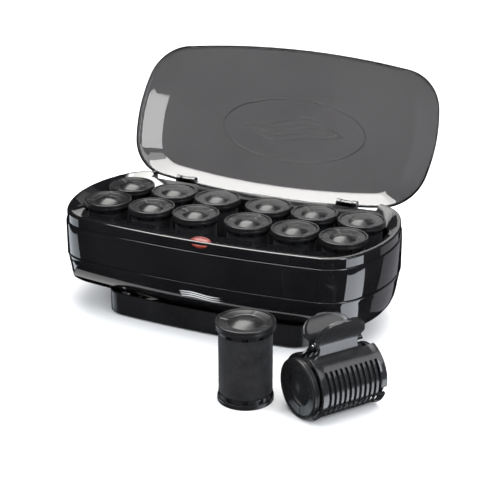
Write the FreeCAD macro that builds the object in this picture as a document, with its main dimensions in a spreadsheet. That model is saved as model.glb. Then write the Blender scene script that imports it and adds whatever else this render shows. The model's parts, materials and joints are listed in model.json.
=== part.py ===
"""Heated roller set: a case that heats twelve hair rollers under a hinged lid, with two larger
loose rollers beside it, one standing and one held in a spring clip.

Millimetres.  +X is the right end, +Y the back, +Z up; the origin is on the floor under the case's middle.
"""
import FreeCAD
import Part
import Sketcher

import math
import os
import re

SIZES = [
    # the case and its stacked shells
    ("case_half_length", 158.5, "case, half length at the parting line"),
    ("case_half_depth", 85, "case, half depth at the parting line"),
    ("case_side_bow", 900, "radius of the long sides in plan"),
    ("case_end_bow", 120, "radius of the ends in plan"),
    ("case_corner", 41, "radius of the corners in plan"),
    ("case_wall", 2.4, "wall of the case mouldings"),
    ("rim_height", 95, "top of the rim above the floor"),
    ("rim_parting", 85.5, "joint between the deck's bezel and the upper housing"),
    ("rim_inset", 1.2, "bezel inside the case outline"),
    ("rim_round", 1.6, "round on the bezel's top edge"),
    ("crease_height", 55, "joint between the upper and lower housings"),
    ("joint_line", 0.3, "width of the joints between mouldings"),
    ("fit_gap", 0.15, "clearance where one moulding fits in another"),
    # lower housing: heights of its tapering sections and how far each lies inside the case outline
    ("belly_height", 40, "lower housing, first section under the joint"),
    ("belly_end_in", 4, "first section, inset at the ends"),
    ("belly_side_in", 9.3, "first section, inset at the sides"),
    ("hip_height", 30, "lower housing, second section"),
    ("hip_end_in", 6.5, "second section, inset at the ends"),
    ("hip_side_in", 15.5, "second section, inset at the sides"),
    ("keel_height", 22.5, "lower housing, third section"),
    ("keel_end_in", 12, "third section, inset at the ends"),
    ("keel_side_in", 20, "third section, inset at the sides"),
    ("under_height", 19.5, "underside of the case"),
    ("under_end_in", 20, "underside, inset at the ends"),
    ("under_side_in", 27, "underside, inset at the sides"),
    # pedestal
    ("foot_half_length", 100.5, "pedestal, half length"),
    ("foot_half_depth", 69.5, "pedestal, half depth"),
    ("foot_side_bow", 950, "radius of the pedestal's long sides"),
    ("foot_end_bow", 400, "radius of the pedestal's ends"),
    ("foot_corner", 14, "radius of the pedestal's corners"),
    ("foot_top", 22.3, "top of the pedestal, level with the case floor"),
    ("foot_bottom", 1.2, "gap under the pedestal wall"),
    ("foot_ledge", 6, "width of the ledge over the base plate"),
    ("pad_height", 2, "height of the rubber feet"),
    ("pad_radius", 7, "radius of the rubber feet"),
    ("pad_x", 82, "rubber feet, distance from the middle along X"),
    ("pad_y", 52, "rubber feet, distance from the middle along Y"),
    ("base_thick", 2, "base plate thickness"),
    ("vent_middle", 40, "middle of each group of vents along X"),
    ("vent_pitch", 8, "spacing of the vents"),
    ("vent_width", 3, "width of a vent"),
    ("vent_half_length", 18, "half length of a vent"),
    ("screw_x", 62, "base screws, distance from the middle along X"),
    ("screw_y", 60.6, "base screws, distance from the middle along Y"),
    ("screw_shank", 1.5, "base screw, shank radius"),
    ("screw_head", 2.8, "base screw, head radius"),
    ("screw_length", 9, "base screw, length under the head"),
    # deck, its sloping shoulder and the recess that holds the rollers
    ("deck_under", 80.55, "underside of the deck's shoulder"),
    ("shoulder_in", 5, "top of the shoulder inside the case outline"),
    ("recess_top", 88.5, "foot of the shoulder, at the recess"),
    ("recess_half_length", 145, "recess, half length"),
    ("recess_half_depth", 49.5, "recess, half depth"),
    ("recess_side_bow", 1600, "radius of the recess sides"),
    ("recess_end_bow", 150, "radius of the recess ends"),
    ("recess_corner", 30, "radius of the recess corners"),
    ("recess_floor", 32.1, "top of the recess floor"),
    ("floor_thick", 2.2, "thickness of the recess floor"),
    ("post_hole", 13, "radius of the holes that the heating posts pass"),
    # hinge
    ("bay_half_length", 118, "hinge bay, half length"),
    ("bay_front", 62, "hinge bay, front edge along Y"),
    ("bay_floor", 80.4, "top of the hinge tray"),
    ("tray_thick", 2.4, "hinge tray thickness"),
    ("tray_front", 54.5, "hinge tray, front edge along Y"),
    ("hinge_y", 74, "hinge axis along Y"),
    ("hinge_z", 90, "hinge axis height"),
    ("hinge_x", 85, "hinges, distance from the middle along X"),
    ("pin_radius", 2, "hinge pin radius"),
    ("knuckle_radius", 3.8, "lid knuckle radius"),
    ("knuckle_length", 11.4, "lid knuckle length"),
    ("ear_thick", 4, "hinge ear thickness"),
    ("ear_radius", 4.4, "hinge ear radius round the pin"),
    ("ear_back", 3, "back of an ear's foot behind the hinge axis"),
    ("ear_gap", 0.3, "gap between a knuckle and each ear"),
    ("pin_fit", 0.05, "clearance between pin and knuckle"),
    ("press_fit", 0.01, "clearance between pin and ear"),
    # lid, drawn closed with its rim plane at level 0
    ("lid_half_length", 157, "lid, half length"),
    ("lid_half_depth", 76, "lid, half depth"),
    ("lid_side_bow", 848, "radius of the lid's long sides"),
    ("lid_end_bow", 165, "radius of the lid's ends"),
    ("lid_corner", 44, "radius of the lid's corners"),
    ("lid_low", 4, "height of the lid wall's lower section"),
    ("lid_low_in", 1.2, "lower section, inset"),
    ("lid_mid", 9, "height of the lid wall's upper section"),
    ("lid_mid_in", 5.5, "upper section, inset"),
    ("lid_height", 13, "height of the lid"),
    ("lid_top_in", 15, "flat top of the lid, inset"),
    ("lid_wall", 2, "lid wall thickness"),
    ("lid_rise", 0.4, "closed lid above the rim"),
    ("lid_back", 4, "closed lid behind the case's middle"),
    ("lid_open", 120, "opening angle of the lid"),
    # rollers
    ("column_pitch", 46, "spacing of the roller columns"),
    ("middle_gap", 52.4, "spacing of the two middle columns"),
    ("row_pitch", 45.8, "spacing of the two rows"),
    ("roller_level", 32.4, "underside of the rollers in the case"),
    ("cap_height", 5.5, "roller cap height"),
    ("neck_height", 4, "slotted neck under the cap"),
    ("heel_height", 4, "solid ring at the bottom of a roller"),
    ("dome_radius", 11.5, "dome in the middle of a cap"),
    ("dish_depth", 1.6, "dish round the dome"),
    ("cap_lip", 2, "width of the raised lip of a cap"),
    ("flock_thick", 1.4, "flocked sleeve thickness"),
    ("sleeve_fit", 0.05, "clearance round the core under the sleeve"),
    ("jumbo_cap", 22, "cap radius of the rollers in the case"),
    ("jumbo_flock", 19.1, "radius over the flock, rollers in the case"),
    ("jumbo_heel", 20.2, "heel radius, rollers in the case"),
    ("jumbo_bore", 13.5, "bore radius, rollers in the case"),
    ("jumbo_length", 65, "length of the rollers in the case"),
    ("large_cap", 25, "cap radius of the loose rollers"),
    ("large_flock", 22.2, "radius over the flock, loose rollers"),
    ("large_heel", 23.2, "heel radius, loose rollers"),
    ("large_bore", 16, "bore radius, loose rollers"),
    ("large_length", 70, "length of the loose rollers"),
    ("standing_x", 89, "standing roller along X"),
    ("standing_y", -165, "standing roller along Y"),
    # clip and the roller lying in it
    ("lying_x", 139.8, "front cap of the lying roller along X"),
    ("lying_y", -178.1, "front cap of the lying roller along Y"),
    ("lying_turn", 56, "direction of the lying roller, from +X towards +Y"),
    ("clip_start", 6.5, "front end of the clip behind the roller's front face"),
    ("clip_length", 62, "length of the clip"),
    ("jaw_inner", 25.4, "inner radius of the jaws"),
    ("jaw_wall", 2.2, "thickness of the jaws"),
    ("jaw_top", 16, "angle of a jaw's top edge from the vertical"),
    ("jaw_sweep", 134, "angle that a jaw spans"),
    ("slot_count", 11, "slots in a jaw"),
    ("slot_width", 2.2, "width of a slot"),
    ("slot_pitch", 4.8, "spacing of the slots"),
    ("slot_start", 46, "angle of the slots' upper ends from the vertical"),
    ("slot_stop", 141, "angle of the slots' lower ends from the vertical"),
    ("clip_hinge_up", 33, "clip hinge above the roller's axis"),
    ("clip_pin_radius", 1.5, "clip pin radius"),
    ("clip_knuckle", 3.2, "clip knuckle radius"),
    ("clip_pin_fit", 0.06, "clearance between the clip pin and its knuckles"),
    ("knuckle_outer", 19, "outer knuckles of the clip from its middle"),
    ("knuckle_inner", 12, "inner knuckles of the clip from its middle"),
    ("clip_knuckle_length", 6, "length of a clip knuckle"),
    ("arm_height", 3.4, "height of the arm from a web to its knuckle"),
    ("arm_drop", 2.5, "foot of that arm below the hinge"),
    ("wing_drop", 2.2, "root of a wing below the hinge"),
    ("wing_length", 24, "length of a wing from its root"),
    ("wing_width", 46, "width of a wing"),
    ("wing_thick", 2.2, "thickness of a wing"),
    ("wing_lean", 38, "lean of a wing from the vertical"),
    ("spring_radius", 4.4, "outer radius of the clip spring"),
    ("spring_length", 12, "length of the clip spring"),
    ("clip_open", 28, "opening angle of the front jaw"),
    # heater and wiring inside
    ("plate_half_length", 134, "heater plate, half length"),
    ("plate_half_depth", 40, "heater plate, half depth"),
    ("plate_bottom", 26.2, "underside of the heater plate"),
    ("plate_thick", 2.6, "heater plate thickness"),
    ("post_radius", 12.4, "heating post radius"),
    ("post_flange", 15, "heating post flange radius"),
    ("flange_thick", 1, "heating post flange thickness"),
    ("post_height", 57.5, "heating post height above the plate"),
    ("post_round", 4, "round on the top of a post"),
    ("element_thick", 2.4, "heating element thickness"),
    ("element_half_depth", 30, "heating element, half depth"),
    ("element_start", 16, "inner end of each element strip"),
    ("element_end", 128, "outer end of each element strip"),
    ("mica_thick", 0.8, "insulation sheet thickness"),
    ("thermostat_radius", 8, "thermostat radius"),
    ("thermostat_height", 10, "thermostat height"),
    ("thermostat_y", -16, "thermostat along Y"),
    ("fuse_radius", 2, "thermal fuse radius"),
    ("fuse_length", 13, "thermal fuse length"),
    ("fuse_y", 14, "thermal fuse along Y"),
    ("block_x", -70, "terminal block along X"),
    ("block_y", 48, "terminal block along Y"),
    ("block_length", 26, "terminal block length"),
    ("block_depth", 12, "terminal block depth"),
    ("block_height", 12, "terminal block height"),
    ("wire_radius", 1.1, "radius of an insulated wire"),
    # indicator and cord inlet
    ("lens_x", 8, "indicator lens along X"),
    ("lens_y", -75.5, "indicator lens along Y"),
    ("lens_half_length", 8.5, "indicator lens, half length"),
    ("lens_half_width", 3.4, "indicator lens, half width"),
    ("lens_top", 94.3, "top of the indicator lens"),
    ("lens_height", 15, "height of the indicator lens"),
    ("lamp_radius", 2.4, "indicator lamp radius"),
    ("lamp_length", 11, "indicator lamp length"),
    ("inlet_x", -60, "cord inlet along X"),
    ("inlet_z", 68, "cord inlet height"),
    ("inlet_bore", 3.6, "cord inlet bore radius"),
    ("inlet_body", 6, "cord inlet body radius"),
    ("inlet_flange", 8.5, "cord inlet flange radius"),
    ("inlet_back", 86.1, "outer face of the cord inlet along Y"),
    ("inlet_flange_thick", 2.6, "cord inlet flange thickness"),
    ("inlet_length", 15, "cord inlet length"),
]
ALIASES = {alias for alias, _, _ in SIZES}

doc = FreeCAD.newDocument("HeatedRollerSet")
sheet = doc.addObject("Spreadsheet::Sheet", "Sizes")
nodes = []


def fill_sheet():
    """Write each driving size, its alias and its meaning."""
    for row, (alias, number, meaning) in enumerate(SIZES, 1):
        sheet.set(f"A{row}", meaning)
        sheet.set(f"B{row}", str(number))
        sheet.setAlias(f"B{row}", alias)
    doc.recompute()


def formula(text):
    """The text with each bare size name turned into a reference to its cell."""
    return re.sub(r"[a-z][a-z_]*", lambda m: f"Sizes.{m[0]}" if m[0] in ALIASES else m[0], str(text))


def value(text):
    """The number that a formula of size names gives."""
    result = sheet.evalExpression(formula(text))
    return float(getattr(result, "Value", result))


def bind(thing, **formulas):
    """Bind properties to formulas; a double underscore stands for the dot of a sub-property."""
    for name, text in formulas.items():
        thing.setExpression(name.replace("__", "."), formula(text))


def place(thing, x="0", y="0", z="0", yaw="0", pitch="0", roll="0"):
    """Bind a placement: a position, then turns about Z, Y and X."""
    position = f"vector({formula(x)}; {formula(y)}; {formula(z)})"
    turn = f"rotation({formula(yaw)}; {formula(pitch)}; {formula(roll)})"
    thing.setExpression("Placement", f"placement({position}; {turn})")
    return thing


def node(thing, label):
    """Register an object as a finished sub-part."""
    thing.Label = label
    nodes.append(thing)
    return thing


# ---------------------------------------------------------------- sketches
def new_body(label):
    return node(doc.addObject("PartDesign::Body", label), label)


def new_sketch(body, name, level="0", role="XY_Plane"):
    """A sketch on one of the body's origin planes, raised to a level along its normal."""
    plane = next(f for f in body.Origin.OriginFeatures if f.Role == role)
    sketch = body.newObject("Sketcher::SketchObject", name)
    sketch.AttachmentSupport = (plane, "")
    sketch.MapMode = "FlatFace"
    bind(sketch, AttachmentOffset__Base__z=level)
    return sketch


def measure(sketch, kind, index, point, text):
    """Fix a point's distance from the origin along X or Y; the sign of the formula picks the side."""
    number = value(text)
    if abs(number) < 1e-9:
        axis = -2 if kind == "DistanceX" else -1
        sketch.addConstraint(Sketcher.Constraint("PointOnObject", index, point, axis))
        return
    ends = (-1, 1, index, point) if number > 0 else (index, point, -1, 1)
    made = sketch.addConstraint(Sketcher.Constraint(kind, *ends, abs(number)))
    text = formula(text) if number > 0 else f"-({formula(text)})"
    sketch.setExpression(f"Constraints[{made}]", text)


def fix_radius(sketch, index, text):
    made = sketch.addConstraint(Sketcher.Constraint("Radius", index, value(text)))
    sketch.setExpression(f"Constraints[{made}]", formula(text))


def circle(sketch, radius, x="0", y="0"):
    centre = FreeCAD.Vector(value(x), value(y), 0)
    index = sketch.addGeometry(Part.Circle(centre, FreeCAD.Vector(0, 0, 1), value(radius)), False)
    measure(sketch, "DistanceX", index, 3, x)
    measure(sketch, "DistanceY", index, 3, y)
    fix_radius(sketch, index, radius)


def polygon(sketch, corners):
    """A closed outline through corners given as pairs of formulas."""
    points = [FreeCAD.Vector(value(x), value(y), 0) for x, y in corners]
    ring = list(zip(points, points[1:] + points[:1]))
    indices = [sketch.addGeometry(Part.LineSegment(a, b), False) for a, b in ring]
    for index, following in zip(indices, indices[1:] + indices[:1]):
        sketch.addConstraint(Sketcher.Constraint("Coincident", index, 2, following, 1))
    for index, (x, y) in zip(indices, corners):
        measure(sketch, "DistanceX", index, 1, x)
        measure(sketch, "DistanceY", index, 1, y)


def rectangle(sketch, low_x, high_x, low_y, high_y):
    polygon(sketch, [(low_x, low_y), (high_x, low_y), (high_x, high_y), (low_x, high_y)])


def oval(sketch, half_length, half_depth, side_bow, end_bow, corner):
    """A long rounded outline: bowed sides, bowed ends and corner arcs, each tangent to the next."""
    a, b, side, end, round_ = (value(t) for t in (half_length, half_depth, side_bow, end_bow, corner))
    side_y, end_x = b - side, a - end
    reach_side, reach_end = side - round_, end - round_
    span = math.hypot(end_x, side_y)
    along = (reach_side**2 - reach_end**2 + span**2) / (2 * span)
    across = math.sqrt(reach_side**2 - along**2)
    corner_x = (along * end_x - across * side_y) / span
    corner_y = side_y - (along * side_y + across * end_x) / span
    alpha = math.atan2(corner_y, corner_x - end_x)
    beta = math.atan2(corner_y - side_y, corner_x)
    turns = [-alpha, alpha, beta, math.pi - beta, math.pi - alpha, math.pi + alpha, math.pi + beta,
             2 * math.pi - beta, 2 * math.pi - alpha]
    centres = [(end_x, 0), (corner_x, corner_y), (0, side_y), (-corner_x, corner_y),
               (-end_x, 0), (-corner_x, -corner_y), (0, -side_y), (corner_x, -corner_y)]
    radii = [end_bow, corner, side_bow, corner] * 2
    arcs = []
    for (x, y), radius, start, stop in zip(centres, radii, turns, turns[1:]):
        whole = Part.Circle(FreeCAD.Vector(x, y, 0), FreeCAD.Vector(0, 0, 1), value(radius))
        arcs.append(sketch.addGeometry(Part.ArcOfCircle(whole, start, stop), False))
    for arc, following, radius in zip(arcs, arcs[1:] + arcs[:1], radii):
        sketch.addConstraint(Sketcher.Constraint("Tangent", arc, 2, following, 1))
        fix_radius(sketch, arc, radius)
    for arc, sign in ((arcs[0], ""), (arcs[4], "-")):
        measure(sketch, "DistanceX", arc, 3, f"{sign}(({half_length}) - ({end_bow}))")
        measure(sketch, "DistanceY", arc, 3, "0")
    for arc, sign in ((arcs[2], ""), (arcs[6], "-")):
        measure(sketch, "DistanceX", arc, 3, "0")
        measure(sketch, "DistanceY", arc, 3, f"{sign}(({half_depth}) - ({side_bow}))")


OUTLINES = {
    "case": ("case_half_length", "case_half_depth", "case_side_bow", "case_end_bow", "case_corner"),
    "foot": ("foot_half_length", "foot_half_depth", "foot_side_bow", "foot_end_bow", "foot_corner"),
    "recess": ("recess_half_length", "recess_half_depth", "recess_side_bow", "recess_end_bow",
               "recess_corner"),
    "lid": ("lid_half_length", "lid_half_depth", "lid_side_bow", "lid_end_bow", "lid_corner"),
}


def outline(body, name, shape, level, inset="0"):
    """A sketch of a named outline, moved inwards all round by the inset."""
    sketch = new_sketch(body, name, level)
    oval(sketch, *(f"{size} - ({inset})" for size in OUTLINES[shape]))
    return sketch


def taper(body, name, shape, level, end_in, side_in):
    """A sketch of a named outline whose ends and sides move inwards by different amounts."""
    sketch = new_sketch(body, name, level)
    length, depth, side, end, corner = OUTLINES[shape]
    oval(sketch, f"{length} - ({end_in})", f"{depth} - ({side_in})", side, end, corner)
    return sketch


# ---------------------------------------------------------------- solid features
def pad(body, sketch, length, name="Pad"):
    feature = body.newObject("PartDesign::Pad", name)
    feature.Profile = sketch
    bind(feature, Length=length)
    doc.recompute()
    return feature


def cut(body, kind, name, sketches, **settings):
    """A feature that removes material, and proof that it did."""
    before = body.Shape.Volume
    feature = body.newObject(kind, name)
    feature.Profile = sketches[0]
    if len(sketches) > 1:
        feature.Sections = sketches[1:]
        feature.Ruled = True
    for key, setting in settings.items():
        if key == "Length":
            bind(feature, Length=setting)
        else:
            setattr(feature, key, setting)
    doc.recompute()
    if body.Shape.Volume > before - 1:
        raise ValueError(f"{body.Label}: {name} removes nothing")
    return feature


def pocket(body, sketch, depth, name="Pocket", **settings):
    return cut(body, "PartDesign::Pocket", name, [sketch], Length=depth, **settings)


def loft(body, sketches, name="Loft"):
    feature = body.newObject("PartDesign::AdditiveLoft", name)
    feature.Profile = sketches[0]
    feature.Sections = sketches[1:]
    feature.Ruled = True
    doc.recompute()
    return feature


def revolve(body, sketch):
    feature = body.newObject("PartDesign::Revolution", "Revolution")
    feature.Profile = sketch
    feature.ReferenceAxis = (sketch, ["V_Axis"])
    feature.Angle = 360
    doc.recompute()
    return feature


def round_edges(body, radius, wanted, name="Round"):
    """Fillet the edges of the body that the test picks."""
    base = body.Tip
    picked = [f"Edge{n}" for n, edge in enumerate(base.Shape.Edges, 1) if wanted(edge)]
    feature = body.newObject("PartDesign::Fillet", name)
    feature.Base = (base, picked)
    bind(feature, Radius=radius)
    doc.recompute()
    return feature


def at_level(level):
    """A test for edges that lie wholly at one level."""
    height = value(level)
    return lambda edge: all(abs(v.Point.z - height) < 1e-4 for v in edge.Vertexes)


# ---------------------------------------------------------------- primitives and booleans
def box(name, low, size):
    """A block from its lowest corner and its three sizes, all formulas."""
    block = doc.addObject("Part::Box", name)
    bind(block, Length=size[0], Width=size[1], Height=size[2])
    return place(block, *low)


def cylinder(name, radius, height, x="0", y="0", z="0", **turns):
    rod = doc.addObject("Part::Cylinder", name)
    bind(rod, Radius=radius, Height=height)
    return place(rod, x, y, z, **turns)


def joined(name, parts):
    """One object of several: a single solid where they touch, separate solids where they don't."""
    made = doc.addObject("Part::MultiFuse", name)
    made.Shapes = parts
    return made


def less(name, base, tools):
    made = doc.addObject("Part::Cut", name)
    made.Base = base
    made.Tool = tools[0] if len(tools) == 1 else joined(name + "_tools", tools)
    return made


def signs(x, y):
    """The four mirror images of a place."""
    return [(f"{i}*({x})", f"{j}*({y})") for i in (-1, 1) for j in (-1, 1)]


# ---------------------------------------------------------------- case
def make_upper_housing():
    body = new_body("upper_housing")
    tall = "rim_parting - crease_height - joint_line"
    pad(body, outline(body, "Outside", "case", "crease_height + joint_line/2"), tall)
    pocket(body, outline(body, "Inside", "case", "rim_parting", "case_wall"), "100")
    bay = new_sketch(body, "Bay", "rim_parting")
    rectangle(bay, "-bay_half_length", "bay_half_length", "bay_front", "case_half_depth + 10")
    pocket(body, bay, "rim_parting - bay_floor", "BayPocket")
    hole = new_sketch(body, "InletHole", "0", "XZ_Plane")
    circle(hole, "inlet_body + fit_gap", "inlet_x", "inlet_z")
    pocket(body, hole, "case_half_depth + 10", "InletPocket")


LOWER_SECTIONS = [
    ("crease_height - joint_line/2", "0", "0"),
    ("belly_height", "belly_end_in", "belly_side_in"),
    ("hip_height", "hip_end_in", "hip_side_in"),
    ("keel_height", "keel_end_in", "keel_side_in"),
    ("under_height", "under_end_in", "under_side_in"),
]


def make_lower_housing():
    """A tray whose sides slope in under the joint and whose ends round under."""
    body = new_body("lower_housing")
    outer = [taper(body, f"Outer{n}", "case", *s) for n, s in enumerate(LOWER_SECTIONS)]
    loft(body, outer, "Outside")
    inner = [taper(body, f"Inner{n}", "case", level, f"{end} + case_wall", f"{side} + case_wall")
             for n, (level, end, side) in enumerate(LOWER_SECTIONS[:-1])]
    cut(body, "PartDesign::SubtractiveLoft", "Inside", inner)
    opening = outline(body, "Opening", "foot", "hip_height", "-fit_gap")
    pocket(body, opening, "hip_height", "FootOpening")


def make_pedestal():
    """A skirt with an inner ledge for the base plate and four screw bosses."""
    body = new_body("pedestal")
    pad(body, outline(body, "Outside", "foot", "foot_bottom"), "foot_top - foot_bottom")
    pocket(body, outline(body, "Inside", "foot", "hip_height", "case_wall"), "100")
    ledge = outline(body, "Ledge", "foot", "pad_height + base_thick", "case_wall/2")
    oval(ledge, *(f"{size} - (case_wall + foot_ledge)" for size in OUTLINES["foot"]))
    pad(body, ledge, "2", "LedgePad")
    for number, (x, y) in enumerate(signs("screw_x", "screw_y")):
        boss = new_sketch(body, f"Boss{number}", "pad_height + base_thick")
        circle(boss, "screw_shank + 2", x, y)
        pad(body, boss, "screw_length + 2", f"BossPad{number}")
    for number, (x, y) in enumerate(signs("screw_x", "screw_y")):
        hole = new_sketch(body, f"Hole{number}", "pad_height + base_thick + screw_length")
        circle(hole, "screw_shank + press_fit", x, y)
        pocket(body, hole, "screw_length + 1", f"HolePocket{number}")


def make_base_plate():
    body = new_body("base_plate")
    pad(body, outline(body, "Outside", "foot", "pad_height", "case_wall + fit_gap"), "base_thick")
    for number, (x, y) in enumerate(signs("screw_x", "screw_y")):
        hole = new_sketch(body, f"Hole{number}", "pad_height + base_thick")
        circle(hole, "screw_shank + fit_gap", x, y)
        pocket(body, hole, "base_thick + 1", f"HolePocket{number}")
    for number, side in ((n, s) for s in (-1, 1) for n in range(7)):
        name = f"Vent{side + 1}{number}"
        slot = new_sketch(body, name, "pad_height + base_thick")
        low = f"{side}*vent_middle + {number - 3}*vent_pitch - vent_width/2"
        rectangle(slot, low, f"{low} + vent_width", "-vent_half_length", "vent_half_length")
        pocket(body, slot, "base_thick + 1", name + "Pocket")


def make_feet_and_screws():
    pads = [cylinder(f"pad{n}", "pad_radius", "pad_height", x, y)
            for n, (x, y) in enumerate(signs("pad_x", "pad_y") + [("0", "0")])]
    node(joined("rubber_feet", pads), "rubber_feet")
    pieces = []
    for n, (x, y) in enumerate(signs("screw_x", "screw_y")):
        head = cylinder(f"head{n}", "screw_head", "1.4", x, y, "pad_height - 1.4")
        shank = cylinder(f"shank{n}", "screw_shank", "screw_length", x, y, "pad_height - 0.1")
        pieces += [head, shank]
    node(joined("base_screws", pieces), "base_screws")


def roller_places():
    """Formulas for the twelve roller axes, column by column from the left, front row first."""
    columns = [f"{side}*(middle_gap/2 + {step}*column_pitch)"
               for side, steps in ((-1, (2, 1, 0)), (1, (0, 1, 2))) for step in steps]
    return [(x, y) for y in ("-row_pitch/2", "row_pitch/2") for x in columns]


def make_deck():
    """Bezel, sloping shoulder and the recess that the rollers stand in, in one moulding."""
    body = new_body("deck")
    floor_under = "recess_floor - floor_thick"
    tub = outline(body, "Tub", "recess", floor_under, "-case_wall")
    pad(body, tub, f"deck_under - ({floor_under}) + 0.5", "TubPad")
    skirt = outline(body, "Skirt", "case", "deck_under", "case_wall + fit_gap")
    pad(body, skirt, "rim_parting + joint_line - deck_under", "SkirtPad")
    bezel = outline(body, "Bezel", "case", "rim_parting + joint_line", "rim_inset")
    pad(body, bezel, "rim_height - rim_parting - joint_line", "BezelPad")
    round_edges(body, "rim_round", at_level("rim_height"))
    slope = [outline(body, "ShoulderTop", "case", "rim_height", "shoulder_in"),
             outline(body, "ShoulderFoot", "recess", "recess_top")]
    cut(body, "PartDesign::SubtractiveLoft", "Shoulder", slope)
    recess = outline(body, "Recess", "recess", "recess_top + 0.01")
    pocket(body, recess, "recess_top - recess_floor + 0.01", "RecessPocket")
    for number, (x, y) in enumerate(roller_places(), 1):
        hole = new_sketch(body, f"PostHole{number}", "recess_floor")
        circle(hole, "post_hole", x, y)
        pocket(body, hole, "floor_thick + 1", f"PostPocket{number}")
    bay = new_sketch(body, "Bay", "rim_height")
    rectangle(bay, "-bay_half_length", "bay_half_length", "bay_front", "case_half_depth + 10")
    pocket(body, bay, "rim_height - deck_under + 1", "BayPocket")
    lens = new_sketch(body, "LensHole", "rim_height")
    stadium(lens, "lens_half_length + fit_gap", "lens_half_width + fit_gap")
    pocket(body, lens, "rim_height - deck_under + 1", "LensPocket")


def stadium(sketch, half_length, half_width):
    """The indicator's outline: two straight sides and two round ends."""
    run = f"({half_length}) - ({half_width})"
    radius = value(half_width)
    middle, low = FreeCAD.Vector(value("lens_x"), value("lens_y"), 0), -math.pi / 2
    for side in (1, -1):
        centre = middle + FreeCAD.Vector(side * value(run), 0, 0)
        start = low if side > 0 else -low
        arc = Part.ArcOfCircle(Part.Circle(centre, FreeCAD.Vector(0, 0, 1), radius), start,
                               start + math.pi)
        index = sketch.addGeometry(arc, False)
        fix_radius(sketch, index, half_width)
        measure(sketch, "DistanceX", index, 3, f"lens_x + {side}*({run})")
        measure(sketch, "DistanceY", index, 3, "lens_y")
    for first, second in ((0, 1), (1, 0)):
        begin, finish = sketch.getPoint(first, 2), sketch.getPoint(second, 1)
        index = sketch.addGeometry(Part.LineSegment(begin, finish), False)
        sketch.addConstraint(Sketcher.Constraint("Tangent", first, 2, index, 1))
        sketch.addConstraint(Sketcher.Constraint("Tangent", index, 2, second, 1))


def make_indicator():
    body = new_body("indicator_lens")
    face = new_sketch(body, "Face", "lens_top - lens_height")
    stadium(face, "lens_half_length", "lens_half_width")
    pad(body, face, "lens_height")
    round_edges(body, "1.2", at_level("lens_top"))
    lamp = cylinder("indicator_lamp", "lamp_radius", "lamp_length", "lens_x - lamp_length/2", "lens_y",
                    "lens_top - lens_height - lamp_radius - 0.4", pitch="90")
    node(lamp, "indicator_lamp")


# ---------------------------------------------------------------- hinge and lid
def make_hinge_tray():
    """A shallow tray behind the recess that closes the hinge bay and carries two pairs of ears."""
    prism = doc.addObject("PartDesign::Body", "tray_outline")
    pad(prism, outline(prism, "Edge", "case", "bay_floor - tray_thick", "case_wall + fit_gap"),
        "tray_thick")
    slab = box("tray_slab", ("-bay_half_length - 1.5", "tray_front", "bay_floor - tray_thick"),
               ("2*bay_half_length + 3", "50", "tray_thick"))
    tray = doc.addObject("Part::Common", "tray")
    tray.Base = prism
    tray.Tool = slab
    pieces = [tray]
    for side in (-1, 1):
        for hand in (-1, 1):
            middle = f"{side}*hinge_x + {hand}*(knuckle_length/2 + ear_gap + ear_thick/2)"
            low = f"{middle} - ear_thick/2"
            name = f"ear{side + 1}{hand + 1}"
            pieces.append(box(name, (low, "hinge_y - ear_radius", "bay_floor - 0.2"),
                              ("ear_thick", "ear_radius + ear_back", "hinge_z - bay_floor + 0.2")))
            pieces.append(cylinder(name + "_top", "ear_radius", "ear_thick", low, "hinge_y", "hinge_z",
                                   pitch="90"))
    bore = cylinder("ear_bore", "pin_radius + press_fit", "2*hinge_x + 60", "-hinge_x - 30", "hinge_y",
                    "hinge_z", pitch="90")
    node(less("hinge_tray", joined("tray_blank", pieces), [bore]), "hinge_tray")


def make_hinge_pins():
    length = "knuckle_length + 2*ear_gap + 2*ear_thick + 1"
    pins = [cylinder(f"pin{side + 1}", "pin_radius", length, f"{side}*hinge_x - ({length})/2",
                     "hinge_y", "hinge_z", pitch="90") for side in (-1, 1)]
    node(joined("hinge_pins", pins), "hinge_pins")


LID_SECTIONS = [("0", "0"), ("lid_low", "lid_low_in"), ("lid_mid", "lid_mid_in"),
                ("lid_height", "lid_top_in")]


def make_lid():
    """A shallow dished cover with two hinge knuckles, drawn closed and placed wide open."""
    body = new_body("lid")
    outer = [outline(body, f"Outer{n}", "lid", level, inset)
             for n, (level, inset) in enumerate(LID_SECTIONS)]
    loft(body, outer, "Outside")
    inner = [outline(body, f"Inner{n}", "lid", f"{level} - lid_wall*{n / 3}", f"{inset} + lid_wall")
             for n, (level, inset) in enumerate(LID_SECTIONS)]
    cut(body, "PartDesign::SubtractiveLoft", "Inside", inner)
    axis_y, axis_z = "hinge_y - lid_back", "hinge_z - rim_height - lid_rise"
    for side in (-1, 1):
        near = f"{side}*hinge_x - knuckle_length/2"
        barrel = new_sketch(body, f"Barrel{side + 1}", near, "YZ_Plane")
        circle(barrel, "knuckle_radius", axis_y, axis_z)
        pad(body, barrel, "knuckle_length", f"BarrelPad{side + 1}")
        web = new_sketch(body, f"Web{side + 1}", near, "YZ_Plane")
        rectangle(web, f"{axis_y} - 1.5", f"{axis_y} + 1.6", axis_z, "1.5")
        pad(body, web, "knuckle_length", f"WebPad{side + 1}")
    bore = new_sketch(body, "Bore", "-hinge_x - 20", "YZ_Plane")
    circle(bore, "pin_radius + pin_fit", axis_y, axis_z)
    pocket(body, bore, "2*hinge_x + 40", "BorePocket", Reversed=True)
    turned_y = f"({axis_y})*cos(lid_open) + ({axis_z})*sin(lid_open)"
    turned_z = f"-({axis_y})*sin(lid_open) + ({axis_z})*cos(lid_open)"
    place(body, "0", f"hinge_y - ({turned_y})", f"hinge_z - ({turned_z})", roll="-lid_open")


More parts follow.
